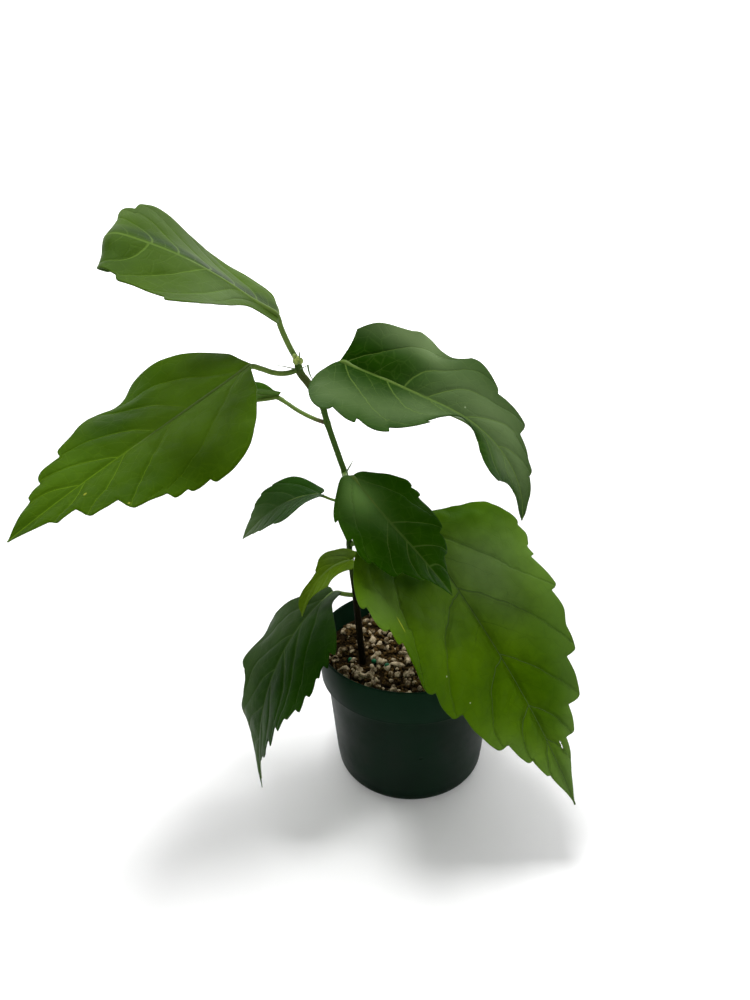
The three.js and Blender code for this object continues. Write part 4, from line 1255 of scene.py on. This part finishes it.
BUD_LIGHT = (0.26, 0.34, 0.05)
HAIR_GREEN = (0.11, 0.17, 0.07)


def bud_cluster():
    bm = bmesh.new()
    for at, size in BUD_PLACES:
        place = Matrix.Translation(at) @ Matrix.Diagonal((*size, 1))
        made = bmesh.ops.create_icosphere(bm, subdivisions=4, radius=1, matrix=place)
        centre = Vector(at)
        for vert in made["verts"]:
            out = vert.co - centre
            turned = math.atan2(out.y, out.x)
            seams = 0.10 * abs(math.sin(turned * 2.5)) ** 0.6
            vert.co = centre + out * (0.92 + seams)
    return bm


def bud_skin():
    finish, tree, shader = new_finish("bud_skin", Roughness=0.55, Sheen_Weight=0.15, Sheen_Roughness=0.4)
    place = object_place(tree)
    down = cloudy(tree, place, 1500.0, 3.0)
    tint = cloudy(tree, place, 420.0, 2.0)
    colour = blend_colours(tree, ease(tree, tint, 0.35, 0.65), BUD_SHADE, BUD_LIGHT)
    coat(tree, shader, colour, down, 0.4, 0.0003)
    return finish


def stipules():
    bm = bmesh.new()
    for places, thick in HAIRS:
        limb(bm, smooth_route(places, steps=16), lambda t: thick * (1 - t) ** 0.7 + 0.08, HAIR_SIDES)
    bmesh.ops.recalc_face_normals(bm, faces=bm.faces)
    return bm


build_piece("buds", bud_cluster(), [bud_skin()], "bud", "buds")
stipule_green = new_finish("stipule_green", Base_Color=HAIR_GREEN, Roughness=0.6)[0]
build_piece("stipules", stipules(), [stipule_green], "bud", "buds")

# Studio: a plain pale floor that curves up all round, with soft light from above and behind.
# The camera stands where the photograph was taken from. Lengths in the studio are in metres.
FLOOR_RADIUS = 1.9
FLOOR_SWEEP = 0.9
CAMERA_PLACE = Vector((-0.0175, -0.364, 0.334))
CAMERA_PITCH = math.radians(24)
CAMERA_ROLL = math.radians(-1.5)
LIGHTS_AIM = Vector((0, 0, 0.15))
FLOOR_WHITE = (0.86, 0.86, 0.86)


def studio_floor():
    profile = [(0.0, 0.0), (0.4, 0.0), (0.8, 0.0), (FLOOR_RADIUS, 0.0)]
    for i in range(1, 13):
        a = math.pi / 2 * i / 12
        profile.append((FLOOR_RADIUS + FLOOR_SWEEP * math.sin(a), FLOOR_SWEEP * (1 - math.cos(a))))
    profile.append((FLOOR_RADIUS + FLOOR_SWEEP, 2.6))
    bm = turn(profile, steps=96)
    mesh = bpy.data.meshes.new("studio_floor")
    bm.to_mesh(mesh)
    bm.free()
    mesh.shade_smooth()
    paint, tree, shader = new_finish("studio_white", Roughness=0.9, Base_Color=FLOOR_WHITE)
    shader.inputs["Specular IOR Level"].default_value = 0.0
    shader.inputs["Emission Color"].default_value = (1, 1, 1, 1)
    # the backdrop glows, more so towards the back
    glow = ease(tree, split(tree, object_place(tree))["Y"], 0.1, 1.4, 0.1, 0.8)
    tree.links.new(glow, shader.inputs["Emission Strength"])
    mesh.materials.append(paint)
    floor = bpy.data.objects.new("studio_floor", mesh)
    bpy.context.scene.collection.objects.link(floor)


def soft_light(name, place, size, power):
    """A square soft box that faces the middle of the plant."""
    lamp = bpy.data.lights.new(name, "AREA")
    lamp.size = size
    lamp.energy = power
    box = bpy.data.objects.new(name, lamp)
    box.location = place
    box.rotation_euler = (LIGHTS_AIM - Vector(place)).to_track_quat("-Z", "Y").to_euler()
    bpy.context.scene.collection.objects.link(box)


def photo_camera():
    lens = bpy.data.cameras.new("photo_camera")
    lens.sensor_fit = "VERTICAL"
    lens.sensor_height = 36
    lens.lens = 27
    lens.clip_start = 0.01
    camera = bpy.data.objects.new("photo_camera", lens)
    level = Vector((1, 0, 0))
    ahead = Vector((0, math.cos(CAMERA_PITCH), -math.sin(CAMERA_PITCH)))
    above = level.cross(ahead)
    right = level * math.cos(CAMERA_ROLL) + above * math.sin(CAMERA_ROLL)
    up = above * math.cos(CAMERA_ROLL) - level * math.sin(CAMERA_ROLL)
    turned = Matrix((right, up, -ahead)).transposed()
    camera.matrix_world = Matrix.Translation(CAMERA_PLACE) @ turned.to_4x4()
    bpy.context.scene.collection.objects.link(camera)
    bpy.context.scene.camera = camera


studio_floor()
soft_light("key_box", (-0.15, 0.0, 1.7), 0.4, 19)
soft_light("overhead_box", (0.0, 0.5, 1.4), 1.6, 10)
photo_camera()
sky = bpy.data.worlds.new("studio_air")
sky.use_nodes = True
sky.node_tree.nodes["Background"].inputs["Color"].default_value = (1, 1, 1, 1)
sky.node_tree.nodes["Background"].inputs["Strength"].default_value = 0.15
bpy.context.scene.world = sky
bpy.context.scene.view_settings.view_transform = "Standard"
